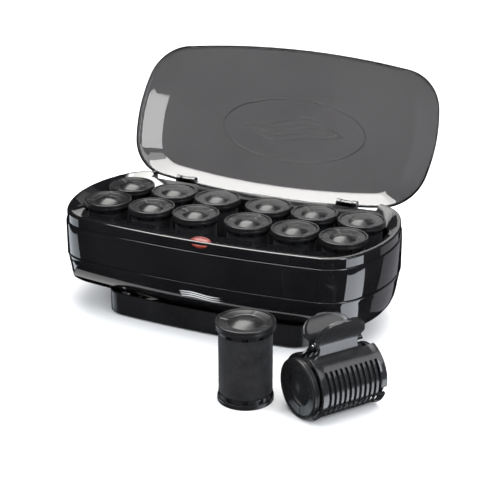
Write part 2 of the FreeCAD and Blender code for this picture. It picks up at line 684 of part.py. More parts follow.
# ---------------------------------------------------------------- rollers
def dished_top(size, top):
    """Corners of a cap's top, from its outer edge in to the axis."""
    lip = f"{size}_cap - cap_lip"
    return [(f"{size}_cap", f"{top} - 1"), (f"{size}_cap - 1", top), (lip, top),
            (f"{lip} - 1", f"{top} - dish_depth"), ("dome_radius", f"{top} - dish_depth - 0.3"),
            ("dome_radius*0.8", f"{top} - dish_depth + 0.4"), ("dome_radius*0.5", f"{top} - 0.75"),
            ("0", f"{top} - 0.4")]


def core_sides(size):
    """Corners of a roller's core from the bore's mouth, out over the heel and up to the neck's top."""
    waist = f"{size}_flock - flock_thick"
    neck = f"{size}_length - cap_height - neck_height"
    ring = f"{size}_flock + 0.2"
    return [(f"{size}_bore", "0"), (f"{size}_heel", "0"), (f"{size}_heel", "heel_height"),
            (ring, "heel_height"), (ring, "2*heel_height"), (waist, "2*heel_height"), (waist, neck),
            (f"{size}_flock", neck), (f"{size}_flock", f"{size}_length - cap_height")]


def make_sleeve(label, size):
    """The flocked sleeve between a roller's slotted rings."""
    body = new_body(label)
    inner = f"{size}_flock - flock_thick + sleeve_fit"
    low, high = "2*heel_height + sleeve_fit", f"{size}_length - cap_height - neck_height - sleeve_fit"
    sketch = new_sketch(body, "Profile", "0", "XZ_Plane")
    rectangle(sketch, inner, f"{size}_flock", low, high)
    revolve(body, sketch)
    return body


def make_case_roller(number, x, y):
    """A roller standing on its heating post: a core moulded with its cap, and a flocked sleeve."""
    top, cap_under = "jumbo_length", "jumbo_length - cap_height"
    core = new_body(f"roller_{number:02d}_core")
    sketch = new_sketch(core, "Profile", "0", "XZ_Plane")
    polygon(sketch, core_sides("jumbo") + [("jumbo_cap", cap_under)] + dished_top("jumbo", top)
            + [("0", f"{cap_under} + 1"), ("jumbo_bore", f"{cap_under} + 1")])
    revolve(core, sketch)
    place(core, x, y, "roller_level")
    place(make_sleeve(f"roller_{number:02d}_sleeve", "jumbo"), x, y, "roller_level")


def make_loose_roller(name, **where):
    """A larger roller in three pieces: core, pressed-on cap and flocked sleeve."""
    top, cap_under = "large_length", "large_length - cap_height"
    core = new_body(f"{name}_core")
    sketch = new_sketch(core, "Profile", "0", "XZ_Plane")
    polygon(sketch, core_sides("large") + [("large_bore", cap_under)])
    revolve(core, sketch)
    cap = new_body(f"{name}_cap")
    sketch = new_sketch(cap, "Profile", "0", "XZ_Plane")
    polygon(sketch, [("0", f"{cap_under} + 1"), ("0", f"{cap_under} - 3"),
                     ("large_bore - press_fit", f"{cap_under} - 3"),
                     ("large_bore - press_fit", cap_under), ("large_cap", cap_under)]
            + dished_top("large", top)[:-1] + [("0", f"{top} - 0.4")])
    revolve(cap, sketch)
    sleeve = make_sleeve(f"{name}_sleeve", "large")
    for piece in (core, cap, sleeve):
        place(piece, **where)


# ---------------------------------------------------------------- clip
CLIP_FRAME = {"x": "lying_x", "y": "lying_y", "z": "large_cap", "yaw": "lying_turn", "pitch": "-90",
              "roll": "180"}


def jaw_bar(name, side, start, stop, low, length):
    """A curved bar of a jaw's shell between two angles from the vertical."""
    yaw = start if side > 0 else f"-({stop})"
    sector = cylinder(f"{name}_sector", "jaw_inner + jaw_wall", length, z=low, yaw=yaw)
    bind(sector, Angle=f"{stop} - ({start})")
    return less(name, sector, [cylinder(f"{name}_hollow", "jaw_inner", f"({length}) + 2", z=f"{low} - 1")])


def make_comb(label, side):
    """The curved shell of a jaw: a band above, a strip below and twelve ribs with slots between them."""
    count = int(value("slot_count"))
    margin = "(clip_length - (slot_count - 1)*slot_pitch - slot_width)/2"
    lows = ["clip_start"] + [f"clip_start + {margin} + slot_width + {n}*slot_pitch" for n in range(count)]
    widths = [margin] + ["slot_pitch - slot_width"] * (count - 1) + [margin]
    bars = [jaw_bar(f"{label}_band", side, "jaw_top", "slot_start", "clip_start", "clip_length"),
            jaw_bar(f"{label}_strip", side, "slot_stop", "jaw_top + jaw_sweep", "clip_start", "clip_length")]
    for n, (low, width) in enumerate(zip(lows, widths)):
        bars.append(jaw_bar(f"{label}_rib{n}", side, "slot_start", "slot_stop", low, width))
    return joined(f"{label}_comb", bars)


def make_jaw(label, side):
    """A comb jaw, its web and its wing.  Drawn with the roller's axis along Z and X upwards."""
    comb = make_comb(label, side)
    middle = "clip_start + clip_length/2"
    foot = "(jaw_inner + jaw_wall/2)*cos(jaw_top)"
    root = "(jaw_inner + jaw_wall/2)*sin(jaw_top)"
    web_side = root if side > 0 else f"-({root}) - wing_thick"
    end = f"{middle} - wing_width/2"
    web = box(f"{label}_web", (f"{foot} - 1", web_side, end),
              (f"clip_hinge_up - ({foot})", "wing_thick", "wing_width"))
    wing = box(f"{label}_wing", ("0", "0", "0"), ("wing_length", "wing_thick", "wing_width"))
    place(wing, "clip_hinge_up - wing_drop", web_side, end, yaw="wing_lean" if side > 0 else "-wing_lean")
    steps = ("-knuckle_outer", "knuckle_inner") if side > 0 else ("-knuckle_inner", "knuckle_outer")
    knuckles, arms = [], []
    for n, step in enumerate(steps):
        low = f"{middle} + {step} - clip_knuckle_length/2"
        knuckles.append(cylinder(f"{label}_knuckle{n}", "clip_knuckle", "clip_knuckle_length",
                                 "clip_hinge_up", "0", low))
        corner = ("clip_hinge_up - arm_drop", "0" if side > 0 else f"-({root}) - 1", low)
        arms.append(box(f"{label}_arm{n}", corner, ("arm_height", f"{root} + 1", "clip_knuckle_length")))
    bore = cylinder(f"{label}_bore", "clip_pin_radius + clip_pin_fit", "clip_length + 10",
                    "clip_hinge_up", "0", "clip_start - 5")
    blank = joined(f"{label}_blank", [comb, web, wing] + knuckles + arms)
    node(place(less(label, blank, [bore]), **CLIP_FRAME), label)


def make_clip():
    make_jaw("clip_front_jaw", 1)
    make_jaw("clip_back_jaw", -1)
    middle = "clip_start + clip_length/2"
    pin = cylinder("clip_pin_rod", "clip_pin_radius", "46", "clip_hinge_up", "0", f"{middle} - 23")
    node(place(joined("clip_pin", [pin, cylinder("clip_pin_head", "clip_pin_radius + 0.6", "1",
                                                 "clip_hinge_up", "0", f"{middle} - 24")]),
               **CLIP_FRAME), "clip_pin")
    coil = cylinder("coil", "spring_radius", "spring_length", "clip_hinge_up", "0",
                    f"{middle} - spring_length/2")
    core = cylinder("coil_core", "clip_pin_radius + 1", "spring_length + 2", "clip_hinge_up", "0",
                    f"{middle} - spring_length/2 - 1")
    node(place(less("clip_spring", coil, [core]), **CLIP_FRAME), "clip_spring")


# ---------------------------------------------------------------- heater and electrics
def make_heater():
    """Aluminium plate with twelve posts above it, an element strip under each half and a mica sheet."""
    body = new_body("heater_plate")
    sketch = new_sketch(body, "Outline", "plate_bottom")
    rectangle(sketch, "-plate_half_length", "plate_half_length", "-plate_half_depth", "plate_half_depth")
    pad(body, sketch, "plate_thick")
    round_edges(body, "8", lambda e: abs(e.Vertexes[0].Point.z - e.Vertexes[-1].Point.z) > 1)
    plate_top = "plate_bottom + plate_thick"
    pieces = []
    for n, (x, y) in enumerate(roller_places(), 1):
        pieces.append(cylinder(f"flange{n}", "post_flange", "flange_thick", x, y, plate_top))
        pieces.append(cylinder(f"post{n}", "post_radius", "post_height - post_round", x, y, plate_top))
        tip = doc.addObject("Part::Cone", f"tip{n}")
        bind(tip, Radius1="post_radius", Radius2="post_radius - post_round", Height="post_round")
        pieces.append(place(tip, x, y, f"{plate_top} + post_height - post_round"))
    node(joined("heating_posts", pieces), "heating_posts")
    element = [box(f"strip{side + 1}", (low, "-element_half_depth", "plate_bottom - element_thick"),
                   ("element_end - element_start", "2*element_half_depth", "element_thick"))
               for side, low in ((-1, "-element_end"), (1, "element_start"))]
    node(joined("heating_element", element), "heating_element")
    mica = [box(f"mica{side + 1}", (low, "-element_half_depth",
                                    "plate_bottom - element_thick - mica_thick"),
                ("element_end - element_start", "2*element_half_depth", "mica_thick"))
            for side, low in ((-1, "-element_end"), (1, "element_start"))]
    node(joined("insulation_sheet", mica), "insulation_sheet")


def make_controls():
    node(cylinder("thermostat", "thermostat_radius", "thermostat_height", "0", "thermostat_y",
                  "plate_bottom - thermostat_height"), "thermostat")
    node(cylinder("thermal_fuse", "fuse_radius", "fuse_length", "-fuse_length/2", "fuse_y",
                  "plate_bottom - fuse_radius - 0.2", pitch="90"), "thermal_fuse")
    node(box("terminal_block", ("block_x - block_length/2", "block_y - block_depth/2",
                                "pad_height + base_thick"),
             ("block_length", "block_depth", "block_height")), "terminal_block")


def bent_tube(points, radius, bend):
    """A round tube through the points, each inner corner rounded to the bend radius."""
    points = [FreeCAD.Vector(*point) for point in points]
    edges, last = [], points[0]
    for before, corner, after in zip(points, points[1:], points[2:]):
        back, on = (before - corner).normalize(), (after - corner).normalize()
        half = back.getAngle(on) / 2
        trim = bend / math.tan(half)
        middle = corner + (back + on).normalize() * (bend / math.sin(half) - bend)
        first, second = corner + back * trim, corner + on * trim
        edges += [Part.makeLine(last, first), Part.Arc(first, middle, second).toShape()]
        last = second
    edges.append(Part.makeLine(last, points[-1]))
    path = Part.Wire(edges)
    section = Part.Wire([Part.makeCircle(radius, points[0], points[1] - points[0])])
    return path.makePipeShell([section], True, True)


def make_wiring():
    """Leads from the terminal block to the thermostat, the fuse and the indicator lamp."""
    block_x, block_y = value("block_x"), value("block_y")
    low = value("plate_bottom - thermostat_height")
    lamp_z = value("lens_top - lens_height - lamp_radius - 0.4")
    run_z = value("pad_height + base_thick") + 7
    sensor_y, fuse_y = value("thermostat_y"), value("fuse_y")
    fuse_z = value("plate_bottom - fuse_radius - 0.2")
    ends = [
        [(block_x + 14, block_y, run_z), (-40, block_y, run_z), (-40, sensor_y, low + 3),
         (-value("thermostat_radius") - 0.3, sensor_y, low + 3)],
        [(block_x + 14, block_y - 4, run_z + 4), (-13, block_y - 4, run_z + 4), (-13, fuse_y, fuse_z),
         (-value("fuse_length") / 2 - 0.3, fuse_y, fuse_z)],
        [(block_x - 8, block_y - 6.3, run_z - 1), (block_x - 8, -50, run_z - 1), (-40, -58.5, 24),
         (-30, -60, 50), (-22, value("lens_y"), lamp_z),
         (value("lens_x - lamp_length/2") - 0.3, value("lens_y"), lamp_z)],
    ]
    tubes = [bent_tube(points, value("wire_radius"), 4) for points in ends]
    loom = doc.addObject("Part::Feature", "wiring_loom")
    loom.Shape = Part.makeCompound(tubes)
    node(loom, "wiring_loom")


def make_cord_inlet():
    """A bush in the rear wall with a flange outside; the supply cord would pass through its bore."""
    body = cylinder("inlet_body", "inlet_body", "inlet_length", "inlet_x", "inlet_back", "inlet_z",
                    roll="90")
    flange = cylinder("inlet_flange", "inlet_flange", "inlet_flange_thick", "inlet_x", "inlet_back",
                      "inlet_z", roll="90")
    bore = cylinder("inlet_bore", "inlet_bore", "inlet_length + 10", "inlet_x", "inlet_back + 5",
                    "inlet_z", roll="90")
    node(less("cord_inlet", joined("inlet_blank", [body, flange]), [bore]), "cord_inlet")


# ---------------------------------------------------------------- the whole set
def check_everything():
    doc.recompute()
    for thing in doc.Objects:
        if {"Invalid", "Error"} & set(thing.State):
            raise ValueError(f"{thing.Label} failed: {thing.State}")
    for thing in nodes:
        shape = thing.Shape
        if shape.isNull() or not shape.isValid() or not shape.Solids:
            raise ValueError(f"{thing.Label} has no sound shape")


def main():
    fill_sheet()
    make_upper_housing()
    make_lower_housing()
    make_pedestal()
    make_base_plate()
    make_feet_and_screws()
    make_deck()
    make_indicator()
    make_hinge_tray()
    make_hinge_pins()
    make_lid()
    for number, (x, y) in enumerate(roller_places(), 1):
        make_case_roller(number, x, y)
    make_loose_roller("standing_roller", x="standing_x", y="standing_y")
    make_loose_roller("clipped_roller", x="lying_x + large_length*cos(lying_turn)",
                      y="lying_y + large_length*sin(lying_turn)", z="large_cap",
                      yaw="lying_turn", pitch="-90")
    make_clip()
    make_heater()
    make_controls()
    make_wiring()
    make_cord_inlet()
    check_everything()
    os.makedirs("parts", exist_ok=True)
    for thing in nodes:
        thing.Shape.exportStep(f"parts/{thing.Label}.step")
        print(f"{thing.Label:24} {thing.Shape.Volume / 1000:9.2f} cm3 {len(thing.Shape.Solids)} solids")


main()
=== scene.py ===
"""Looks for the heated roller set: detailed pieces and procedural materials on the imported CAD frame.

Lengths in the tables are millimetres, in the same frame as the CAD; meshes are made in metres.
"""

import json
import math

import bmesh
import bpy
from mathutils import Matrix, Vector
from mathutils.noise import noise


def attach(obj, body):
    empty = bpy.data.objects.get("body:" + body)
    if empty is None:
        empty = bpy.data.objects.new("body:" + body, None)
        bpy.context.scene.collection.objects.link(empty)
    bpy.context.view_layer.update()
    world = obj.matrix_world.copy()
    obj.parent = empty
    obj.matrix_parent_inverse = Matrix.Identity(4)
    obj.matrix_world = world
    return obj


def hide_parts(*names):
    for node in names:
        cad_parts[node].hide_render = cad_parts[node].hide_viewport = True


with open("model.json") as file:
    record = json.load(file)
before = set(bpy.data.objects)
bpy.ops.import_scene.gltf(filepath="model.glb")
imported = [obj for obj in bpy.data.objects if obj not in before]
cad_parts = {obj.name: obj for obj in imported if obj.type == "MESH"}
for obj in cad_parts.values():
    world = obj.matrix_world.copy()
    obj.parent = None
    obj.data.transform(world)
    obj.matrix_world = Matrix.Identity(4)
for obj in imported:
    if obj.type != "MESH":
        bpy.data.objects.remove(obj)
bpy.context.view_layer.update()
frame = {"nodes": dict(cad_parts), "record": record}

MM = 0.001


# ---------------------------------------------------------------- mesh making
def finish_mesh(name, bm, body, material, replaces=(), sharp=35, bevel=0, subsurf=0):
    """Turn a bmesh in millimetres into a smooth shaded piece that rides on a body."""
    bmesh.ops.remove_doubles(bm, verts=bm.verts, dist=1e-4)
    bmesh.ops.recalc_face_normals(bm, faces=bm.faces)
    bmesh.ops.scale(bm, vec=(MM, MM, MM), verts=bm.verts)
    mesh = bpy.data.meshes.new(name)
    bm.to_mesh(mesh)
    bm.free()
    mesh.polygons.foreach_set("use_smooth", [True] * len(mesh.polygons))
    mesh.set_sharp_from_angle(angle=math.radians(sharp))
    return add_piece(name, mesh, body, material, replaces, bevel, subsurf)


def add_piece(name, mesh, body, material, replaces=(), bevel=0, subsurf=0):
    """Put a mesh in the scene on a body, with its finish and an optional bevel in mm or subdivision."""
    piece = bpy.data.objects.new(name, mesh)
    bpy.context.scene.collection.objects.link(piece)
    if not mesh.materials:
        mesh.materials.append(material)
    if bevel:
        rounding = piece.modifiers.new("Bevel", "BEVEL")
        rounding.width = bevel * MM
        rounding.segments = 2
        rounding.limit_method = "ANGLE"
        rounding.angle_limit = math.radians(40)
        rounding.harden_normals = True
    if subsurf:
        smooth = piece.modifiers.new("Subdivision", "SUBSURF")
        smooth.levels = smooth.render_levels = subsurf
    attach(piece, body)
    if replaces:
        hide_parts(*replaces)
    return piece


def rounded(corners, steps=4):
    """A path of (a, b, radius) corners with each corner replaced by an arc of that radius."""
    path = []
    for n, (a, b, radius) in enumerate(corners):
        here = Vector((a, b))
        if radius <= 0:
            path.append(here)
            continue
        back = (Vector(corners[n - 1][:2]) - here).normalized()
        on = (Vector(corners[(n + 1) % len(corners)][:2]) - here).normalized()
        half = back.angle(on) / 2
        trim = radius / math.tan(half)
        centre = here + (back + on).normalized() * (radius / math.sin(half))
        first, last = here + back * trim - centre, here + on * trim - centre
        turn = first.angle_signed(last)
        for step in range(steps + 1):
            path.append(centre + Matrix.Rotation(-turn * step / steps, 2) @ first)
    return path


def lathe(bm, path, count, placed=Matrix.Identity(4), shape=None):
    """Turn a closed path of (radius, height) points about Z; shape(n, angle) may move a point."""
    rings = []
    for n, (radius, height) in enumerate(path):
        if radius < 1e-6:
            rings.append([bm.verts.new(placed @ Vector((0, 0, height)))])
            continue
        ring = []
        for k in range(count):
            angle = 2 * math.pi * k / count
            out, lift = shape(n, angle) if shape else (0, 0)
            point = Vector(((radius + out) * math.cos(angle), (radius + out) * math.sin(angle),
                            height + lift))
            ring.append(bm.verts.new(placed @ point))
        rings.append(ring)
    for ring, following in zip(rings, rings[1:] + rings[:1]):
        for k in range(count):
            quad = [ring[k % len(ring)], ring[(k + 1) % len(ring)],
                    following[(k + 1) % len(following)], following[k % len(following)]]
            corners = list(dict.fromkeys(quad))
            if len(corners) > 2:
                bm.faces.new(corners)


END_STEPS, CORNER_STEPS, SIDE_STEPS = 10, 16, 24


def oval(half_length, half_depth, side_bow, end_bow, corner, inset=0, side_in=0):
    """Points round a long rounded outline with bowed sides and ends; side_in narrows it further."""
    a, b = half_length - inset, half_depth - inset - side_in
    side, end, turn = side_bow - inset, end_bow - inset, corner - inset
    side_y, end_x = b - side, a - end
    span = math.hypot(end_x, side_y)
    along = ((side - turn)**2 - (end - turn)**2 + span**2) / (2 * span)
    across = math.sqrt((side - turn)**2 - along**2)
    corner_x = (along * end_x - across * side_y) / span
    corner_y = side_y - (along * side_y + across * end_x) / span
    alpha = math.atan2(corner_y, corner_x - end_x)
    beta = math.atan2(corner_y - side_y, corner_x)
    quarter = [(end_x, 0, end, 0, alpha, END_STEPS),
               (corner_x, corner_y, turn, alpha, beta, CORNER_STEPS),
               (0, side_y, side, beta, math.pi / 2, SIDE_STEPS)]
    points = []
    for x, y, radius, start, stop, steps in quarter:
        for step in range(steps):
            angle = start + (stop - start) * step / steps
            points.append((x + radius * math.cos(angle), y + radius * math.sin(angle)))
    points.append((0, b))
    left = [(-x, y) for x, y in reversed(points[:-1])]
    top = points + left
    return top + [(x, -y) for x, y in reversed(top[1:-1])]


def loft(bm, rings, placed=Matrix.Identity(4), closed=True, ends=()):
    """Skin rings of equal count; closed joins the last ring to the first, ends fills given rings."""
    made = [[bm.verts.new(placed @ Vector(p)) for p in ring] for ring in rings]
    pairs = list(zip(made, made[1:])) + ([(made[-1], made[0])] if closed else [])
    for ring, following in pairs:
        for k in range(len(ring)):
            j = (k + 1) % len(ring)
            bm.faces.new((ring[k], ring[j], following[j], following[k]))
    for n in ends:
        bm.faces.new(made[n])
    return made


def quads(bm, rows):
    """Faces between neighbouring rows of an open grid."""
    for row, following in zip(rows, rows[1:]):
        for k in range(len(row) - 1):
            bm.faces.new((row[k], row[k + 1], following[k + 1], following[k]))


def tube(bm, points, radius, sides=10, placed=Matrix.Identity(4)):
    """A round rod with flat capped ends through points that are close together."""
    points = [Vector(p) for p in points]
    side = (points[1] - points[0]).orthogonal().normalized()
    rings = []
    for n, point in enumerate(points):
        ahead = (points[min(n + 1, len(points) - 1)] - points[max(n - 1, 0)]).normalized()
        side = (side - ahead * side.dot(ahead)).normalized()
        other = ahead.cross(side)
        rings.append([point + (side * math.cos(t) + other * math.sin(t)) * radius
                      for t in (2 * math.pi * k / sides for k in range(sides))])
    loft(bm, rings, placed, closed=False, ends=(0, -1))


# ---------------------------------------------------------------- materials
def material(name, colour, roughness, **inputs):
    """A Principled material, its node tree and its shader, with plain values on the shader's sockets."""
    made = bpy.data.materials.new(name)
    made.use_nodes = True
    tree = made.node_tree
    shader = tree.nodes["Principled BSDF"]
    shader.inputs["Base Color"].default_value = (*colour, 1)
    shader.inputs["Roughness"].default_value = roughness
    for key, number in inputs.items():
        shader.inputs[key.replace("_", " ")].default_value = number
    return made, tree, shader


def position(tree, stretch=(1, 1, 1)):
    """Object coordinates, stretched, for grain that doesn't need a UV map."""
    coords = tree.nodes.new("ShaderNodeTexCoord")
    mapping = tree.nodes.new("ShaderNodeMapping")
    mapping.inputs["Scale"].default_value = stretch
    tree.links.new(coords.outputs["Object"], mapping.inputs["Vector"])
    return mapping.outputs["Vector"]


def noise_of(tree, vector, scale, detail=4, roughness=0.5):
    """A noise texture's value."""
    texture = tree.nodes.new("ShaderNodeTexNoise")
    texture.inputs["Scale"].default_value = scale
    texture.inputs["Detail"].default_value = detail
    texture.inputs["Roughness"].default_value = roughness
    tree.links.new(vector, texture.inputs["Vector"])
    return texture.outputs["Fac"]


def ramp(tree, factor, stops):
    """A colour ramp; a stop is (place, grey) or (place, (r, g, b))."""
    node = tree.nodes.new("ShaderNodeValToRGB")
    elements = node.color_ramp.elements
    while len(elements) < len(stops):
        elements.new(0.5)
    for element, (place, shade) in zip(elements, stops):
        element.position = place
        element.color = (*shade, 1) if isinstance(shade, tuple) else (shade, shade, shade, 1)
    tree.links.new(factor, node.inputs["Fac"])
    return node.outputs["Color"]


def bump(tree, shader, height, strength, distance):
    """Relief from a height value, with its distance in metres."""
    node = tree.nodes.new("ShaderNodeBump")
    node.inputs["Strength"].default_value = strength
    node.inputs["Distance"].default_value = distance
    tree.links.new(height, node.inputs["Height"])
    tree.links.new(node.outputs["Normal"], shader.inputs["Normal"])


def moulded(name, dark, light, rough_low, rough_high, grain, strength, **inputs):
    """Moulded plastic: mottled colour, uneven gloss and a fine surface grain."""
    made, tree, shader = material(name, dark, rough_low, **inputs)
    where = position(tree)
    broad = noise_of(tree, where, 22, 5, 0.6)
    tree.links.new(ramp(tree, broad, [(0.35, dark), (0.7, light)]), shader.inputs["Base Color"])
    fine = noise_of(tree, where, 90, 6, 0.65)
    tree.links.new(ramp(tree, fine, [(0.35, rough_low), (0.75, rough_high)]), shader.inputs["Roughness"])
    bump(tree, shader, noise_of(tree, where, grain, 3), strength, 0.0002)
    return made


def flocking():
    """Short upright nylon fibres: near black, with a soft sheen and a speckle of fibre tips."""
    made, tree, shader = material("flock", (0.012, 0.012, 0.013), 0.95, Specular_IOR_Level=0.1,
                                  Sheen_Weight=0.16, Sheen_Roughness=0.45)
    shader.inputs["Sheen Tint"].default_value = (0.55, 0.55, 0.6, 1)
    where = position(tree)
    tips = noise_of(tree, where, 1500, 2, 0.7)
    patches = noise_of(tree, where, 60, 4, 0.6)
    mix = tree.nodes.new("ShaderNodeMath")
    mix.operation = "MULTIPLY"
    tree.links.new(tips, mix.inputs[0])
    tree.links.new(patches, mix.inputs[1])
    tree.links.new(ramp(tree, mix.outputs[0], [(0.12, (0.007, 0.007, 0.008)), (0.5, (0.035, 0.035, 0.037))]),
                   shader.inputs["Base Color"])
    bump(tree, shader, tips, 0.5, 0.0006)
    return made


def metal(name, colour, roughness, stretch, scale):
    """Plated or cast metal with directional scratches."""
    made, tree, shader = material(name, colour, roughness, Metallic=1.0)
    scratches = noise_of(tree, position(tree, stretch), scale, 6, 0.7)
    tree.links.new(ramp(tree, scratches, [(0.3, roughness * 0.7), (0.7, roughness * 1.5)]),
                   shader.inputs["Roughness"])
    shade = ramp(tree, scratches, [(0.3, tuple(c * 0.82 for c in colour)), (0.7, colour)])
    tree.links.new(shade, shader.inputs["Base Color"])
    bump(tree, shader, scratches, 0.15, 0.0001)
    return made


def smoke():
    """The lid's smoke grey clear plastic, with faint flow lines and a few hazy patches."""
    made, tree, shader = material("smoke_plastic", (0.062, 0.06, 0.061), 0.03, IOR=1.45,
                                  Transmission_Weight=1.0, Specular_IOR_Level=0.5)
    where = position(tree)
    haze = noise_of(tree, where, 9, 4, 0.5)
    tree.links.new(ramp(tree, haze, [(0.3, (0.055, 0.053, 0.054)), (0.75, (0.069, 0.067, 0.068))]),
                   shader.inputs["Base Color"])
    tree.links.new(ramp(tree, haze, [(0.3, 0.015), (0.75, 0.05)]), shader.inputs["Roughness"])
    bump(tree, shader, noise_of(tree, where, 14, 2), 0.05, 0.0004)
    return made


def glowing(name, colour, rim, strength):
    """Translucent red plastic lit from below, its glow brighter in scattered fine cells."""
    made, tree, shader = material(name, colour, 0.3, Transmission_Weight=0.25, IOR=1.45,
                                  Specular_IOR_Level=0.2, Emission_Strength=strength)
    cells = noise_of(tree, position(tree, (1, 2.2, 1)), 190, 3, 0.5)
    tint = ramp(tree, cells, [(0.3, colour), (0.7, rim)])
    tree.links.new(tint, shader.inputs["Base Color"])
    tree.links.new(tint, shader.inputs["Emission Color"])
    bump(tree, shader, cells, 0.25, 0.0003)
    return made


def layered(name, low, high, roughness, stretch, scale):
    """Mica, ceramic and print: two close colours in sheets or flecks."""
    made, tree, shader = material(name, low, roughness)
    flecks = noise_of(tree, position(tree, stretch), scale, 5, 0.7)
    tree.links.new(ramp(tree, flecks, [(0.3, low), (0.7, high)]), shader.inputs["Base Color"])
    tree.links.new(ramp(tree, flecks, [(0.3, roughness * 0.8), (0.7, min(1, roughness * 1.3))]),
                   shader.inputs["Roughness"])
    bump(tree, shader, flecks, 0.2, 0.0002)
    return made


MATERIALS = {
    "gloss_black": moulded("gloss_black", (0.006, 0.0058, 0.0065), (0.009, 0.0088, 0.0098), 0.03, 0.06,
                           300, 0.003, Specular_IOR_Level=0.5),
    "matte_black": moulded("matte_black", (0.018, 0.018, 0.019), (0.03, 0.03, 0.031), 0.5, 0.62, 900, 0.25),
    "satin_black": moulded("satin_black", (0.009, 0.009, 0.0095), (0.015, 0.015, 0.016), 0.2, 0.3, 700,
                           0.04, Specular_IOR_Level=0.17),
    "clip_black": moulded("clip_black", (0.014, 0.014, 0.015), (0.022, 0.022, 0.024), 0.14, 0.22, 500,
                          0.03),
    "rubber": moulded("rubber", (0.02, 0.02, 0.02), (0.035, 0.035, 0.035), 0.6, 0.75, 800, 0.3),
    "wire_sleeve": moulded("wire_sleeve", (0.5, 0.48, 0.43), (0.62, 0.6, 0.55), 0.45, 0.6, 600, 0.1),
    "flock": flocking(),
    "smoke_plastic": smoke(),
    "red_lens": glowing("red_lens", (0.16, 0.012, 0.008), (0.3, 0.035, 0.02), 0.17),
    "lamp_glass": glowing("lamp_glass", (0.9, 0.45, 0.25), (1.0, 0.7, 0.5), 1.5),
    "steel": metal("steel", (0.58, 0.58, 0.6), 0.25, (1, 1, 8), 160),
    "aluminium": metal("aluminium", (0.72, 0.72, 0.73), 0.38, (1, 1, 1), 260),
    "element_foil": metal("element_foil", (0.62, 0.55, 0.42), 0.4, (1, 6, 1), 90),
    "mica": layered("mica", (0.42, 0.33, 0.2), (0.6, 0.5, 0.34), 0.45, (1, 1, 12), 120),
    "print_white": layered("print_white", (0.62, 0.62, 0.62), (0.78, 0.78, 0.78), 0.5, (1, 1, 1), 300),
    "white_ceramic": layered("white_ceramic", (0.72, 0.71, 0.67), (0.83, 0.82, 0.78), 0.4, (1, 1, 1), 240),
}


def dress_cad_nodes():
    """Give every carried-over CAD node its slot's procedural material."""
    for row in frame["record"]["subparts"]:
        piece = frame["nodes"][row["node"]]
        piece.data.materials.clear()
        piece.data.materials.append(MATERIALS[row["material_slot"]])


# ---------------------------------------------------------------- rollers
NOTCHES, NOTCH_SHARE, NOTCH_DEPTH = 10, 0.3, 1.9
SPOKES, SPOKE_SHARE, SPOKE_RISE = 4, 0.06, 0.2
DISH_DEPTH, DOME_RISE = 1.9, 3.3
HEEL_TOP, RING_TOP = 4, 8
NECK_DOWN, CAP_DOWN = 9.5, 5.5
SLEEVE_GAP = 0.1
COLUMNS = [side * (26.2 + 46 * step) for side, steps in ((-1, (2, 1, 0)), (1, (0, 1, 2))) for step in steps]
ROWS = (-22.9, 22.9)
ROLLER_LEVEL = 32.4
ROLLER_TWIST = 0.35
STANDING_PLACE = (89, -165, 0)
SIZES = {
    "jumbo": dict(cap=22, flock=19.1, heel=20.2, bore=13.5, length=65, dome=12.2),
    "large": dict(cap=25, flock=22.2, heel=23.2, bore=16, length=70, dome=14.4),
}


def cap_top(size, top):
    """Corners from the cap's outer edge in over the lip and dish to the crown of the dome."""
    cap, dome = size["cap"], size["dome"]
    corners = [(cap, top - CAP_DOWN, 0.5), (cap, top - 3.4, 0.15), (cap - 0.35, top - 3.0, 0.15),
               (cap, top - 2.6, 0.15), (cap, top, 1.1), (cap - 1.9, top, 0.5),
               (cap - 2.9, top - 1.15, 0.6), (dome + 0.9, top - 1.75, 0.5), (dome, top - DISH_DEPTH, 0)]
    crown = []
    for k in range(1, 11):
        out = 1 - k / 10
        crown.append((dome * out, top - DISH_DEPTH + DOME_RISE * (1 - out**2), 0))
    return corners + crown


def part_of_turn(angle, count):
    """How far an angle lies, from 0 to 1, through its one of count equal parts of a turn."""
    return angle * count / (2 * math.pi) % 1


def core_mesh(kind):
    """A roller core with its cap: a bore, a slotted ring over the heel, the waist and a slotted neck."""
    size = SIZES[kind]
    top = size["length"]
    bore, heel, neck = size["bore"], size["heel"], size["flock"]
    waist, ring = neck - 1.4, neck + 0.2
    neck_low, neck_top = top - NECK_DOWN, top - CAP_DOWN
    low = [(bore, 0, 0.4), (heel, 0, 0.5), (heel, HEEL_TOP, 0.4), (ring, HEEL_TOP, 0),
           (ring, HEEL_TOP + 0.6, 0), (ring, RING_TOP - 0.4, 0), (ring, RING_TOP, 0.2), (waist, RING_TOP, 0),
           (waist, neck_low, 0), (neck, neck_low, 0.2), (neck, neck_low + 0.4, 0), (neck, neck_top - 0.4, 0),
           (neck, neck_top, 0)]
    inside = [(0, neck_top + 1, 0), (bore - 1, neck_top + 1, 0), (bore, neck_top, 0)]
    path = rounded(low + cap_top(size, top) + inside)
    slots = ((HEEL_TOP + 0.3, RING_TOP - 0.1), (neck_low + 0.2, neck_top - 0.2))
    dish = (size["dome"] + 0.6, size["cap"] - 2.2)

    def shape(n, angle):
        radius, height = path[n]
        in_slot = radius > waist and any(low < height < high for low, high in slots)
        if in_slot and part_of_turn(angle, NOTCHES) < NOTCH_SHARE:
            return -NOTCH_DEPTH, 0
        in_dish = dish[0] < radius < dish[1] and height > top - 3
        if in_dish and part_of_turn(angle, SPOKES) < SPOKE_SHARE:
            return 0, SPOKE_RISE
        return 0, 0

    bm = bmesh.new()
    lathe(bm, path, 144, shape=shape)
    return bm


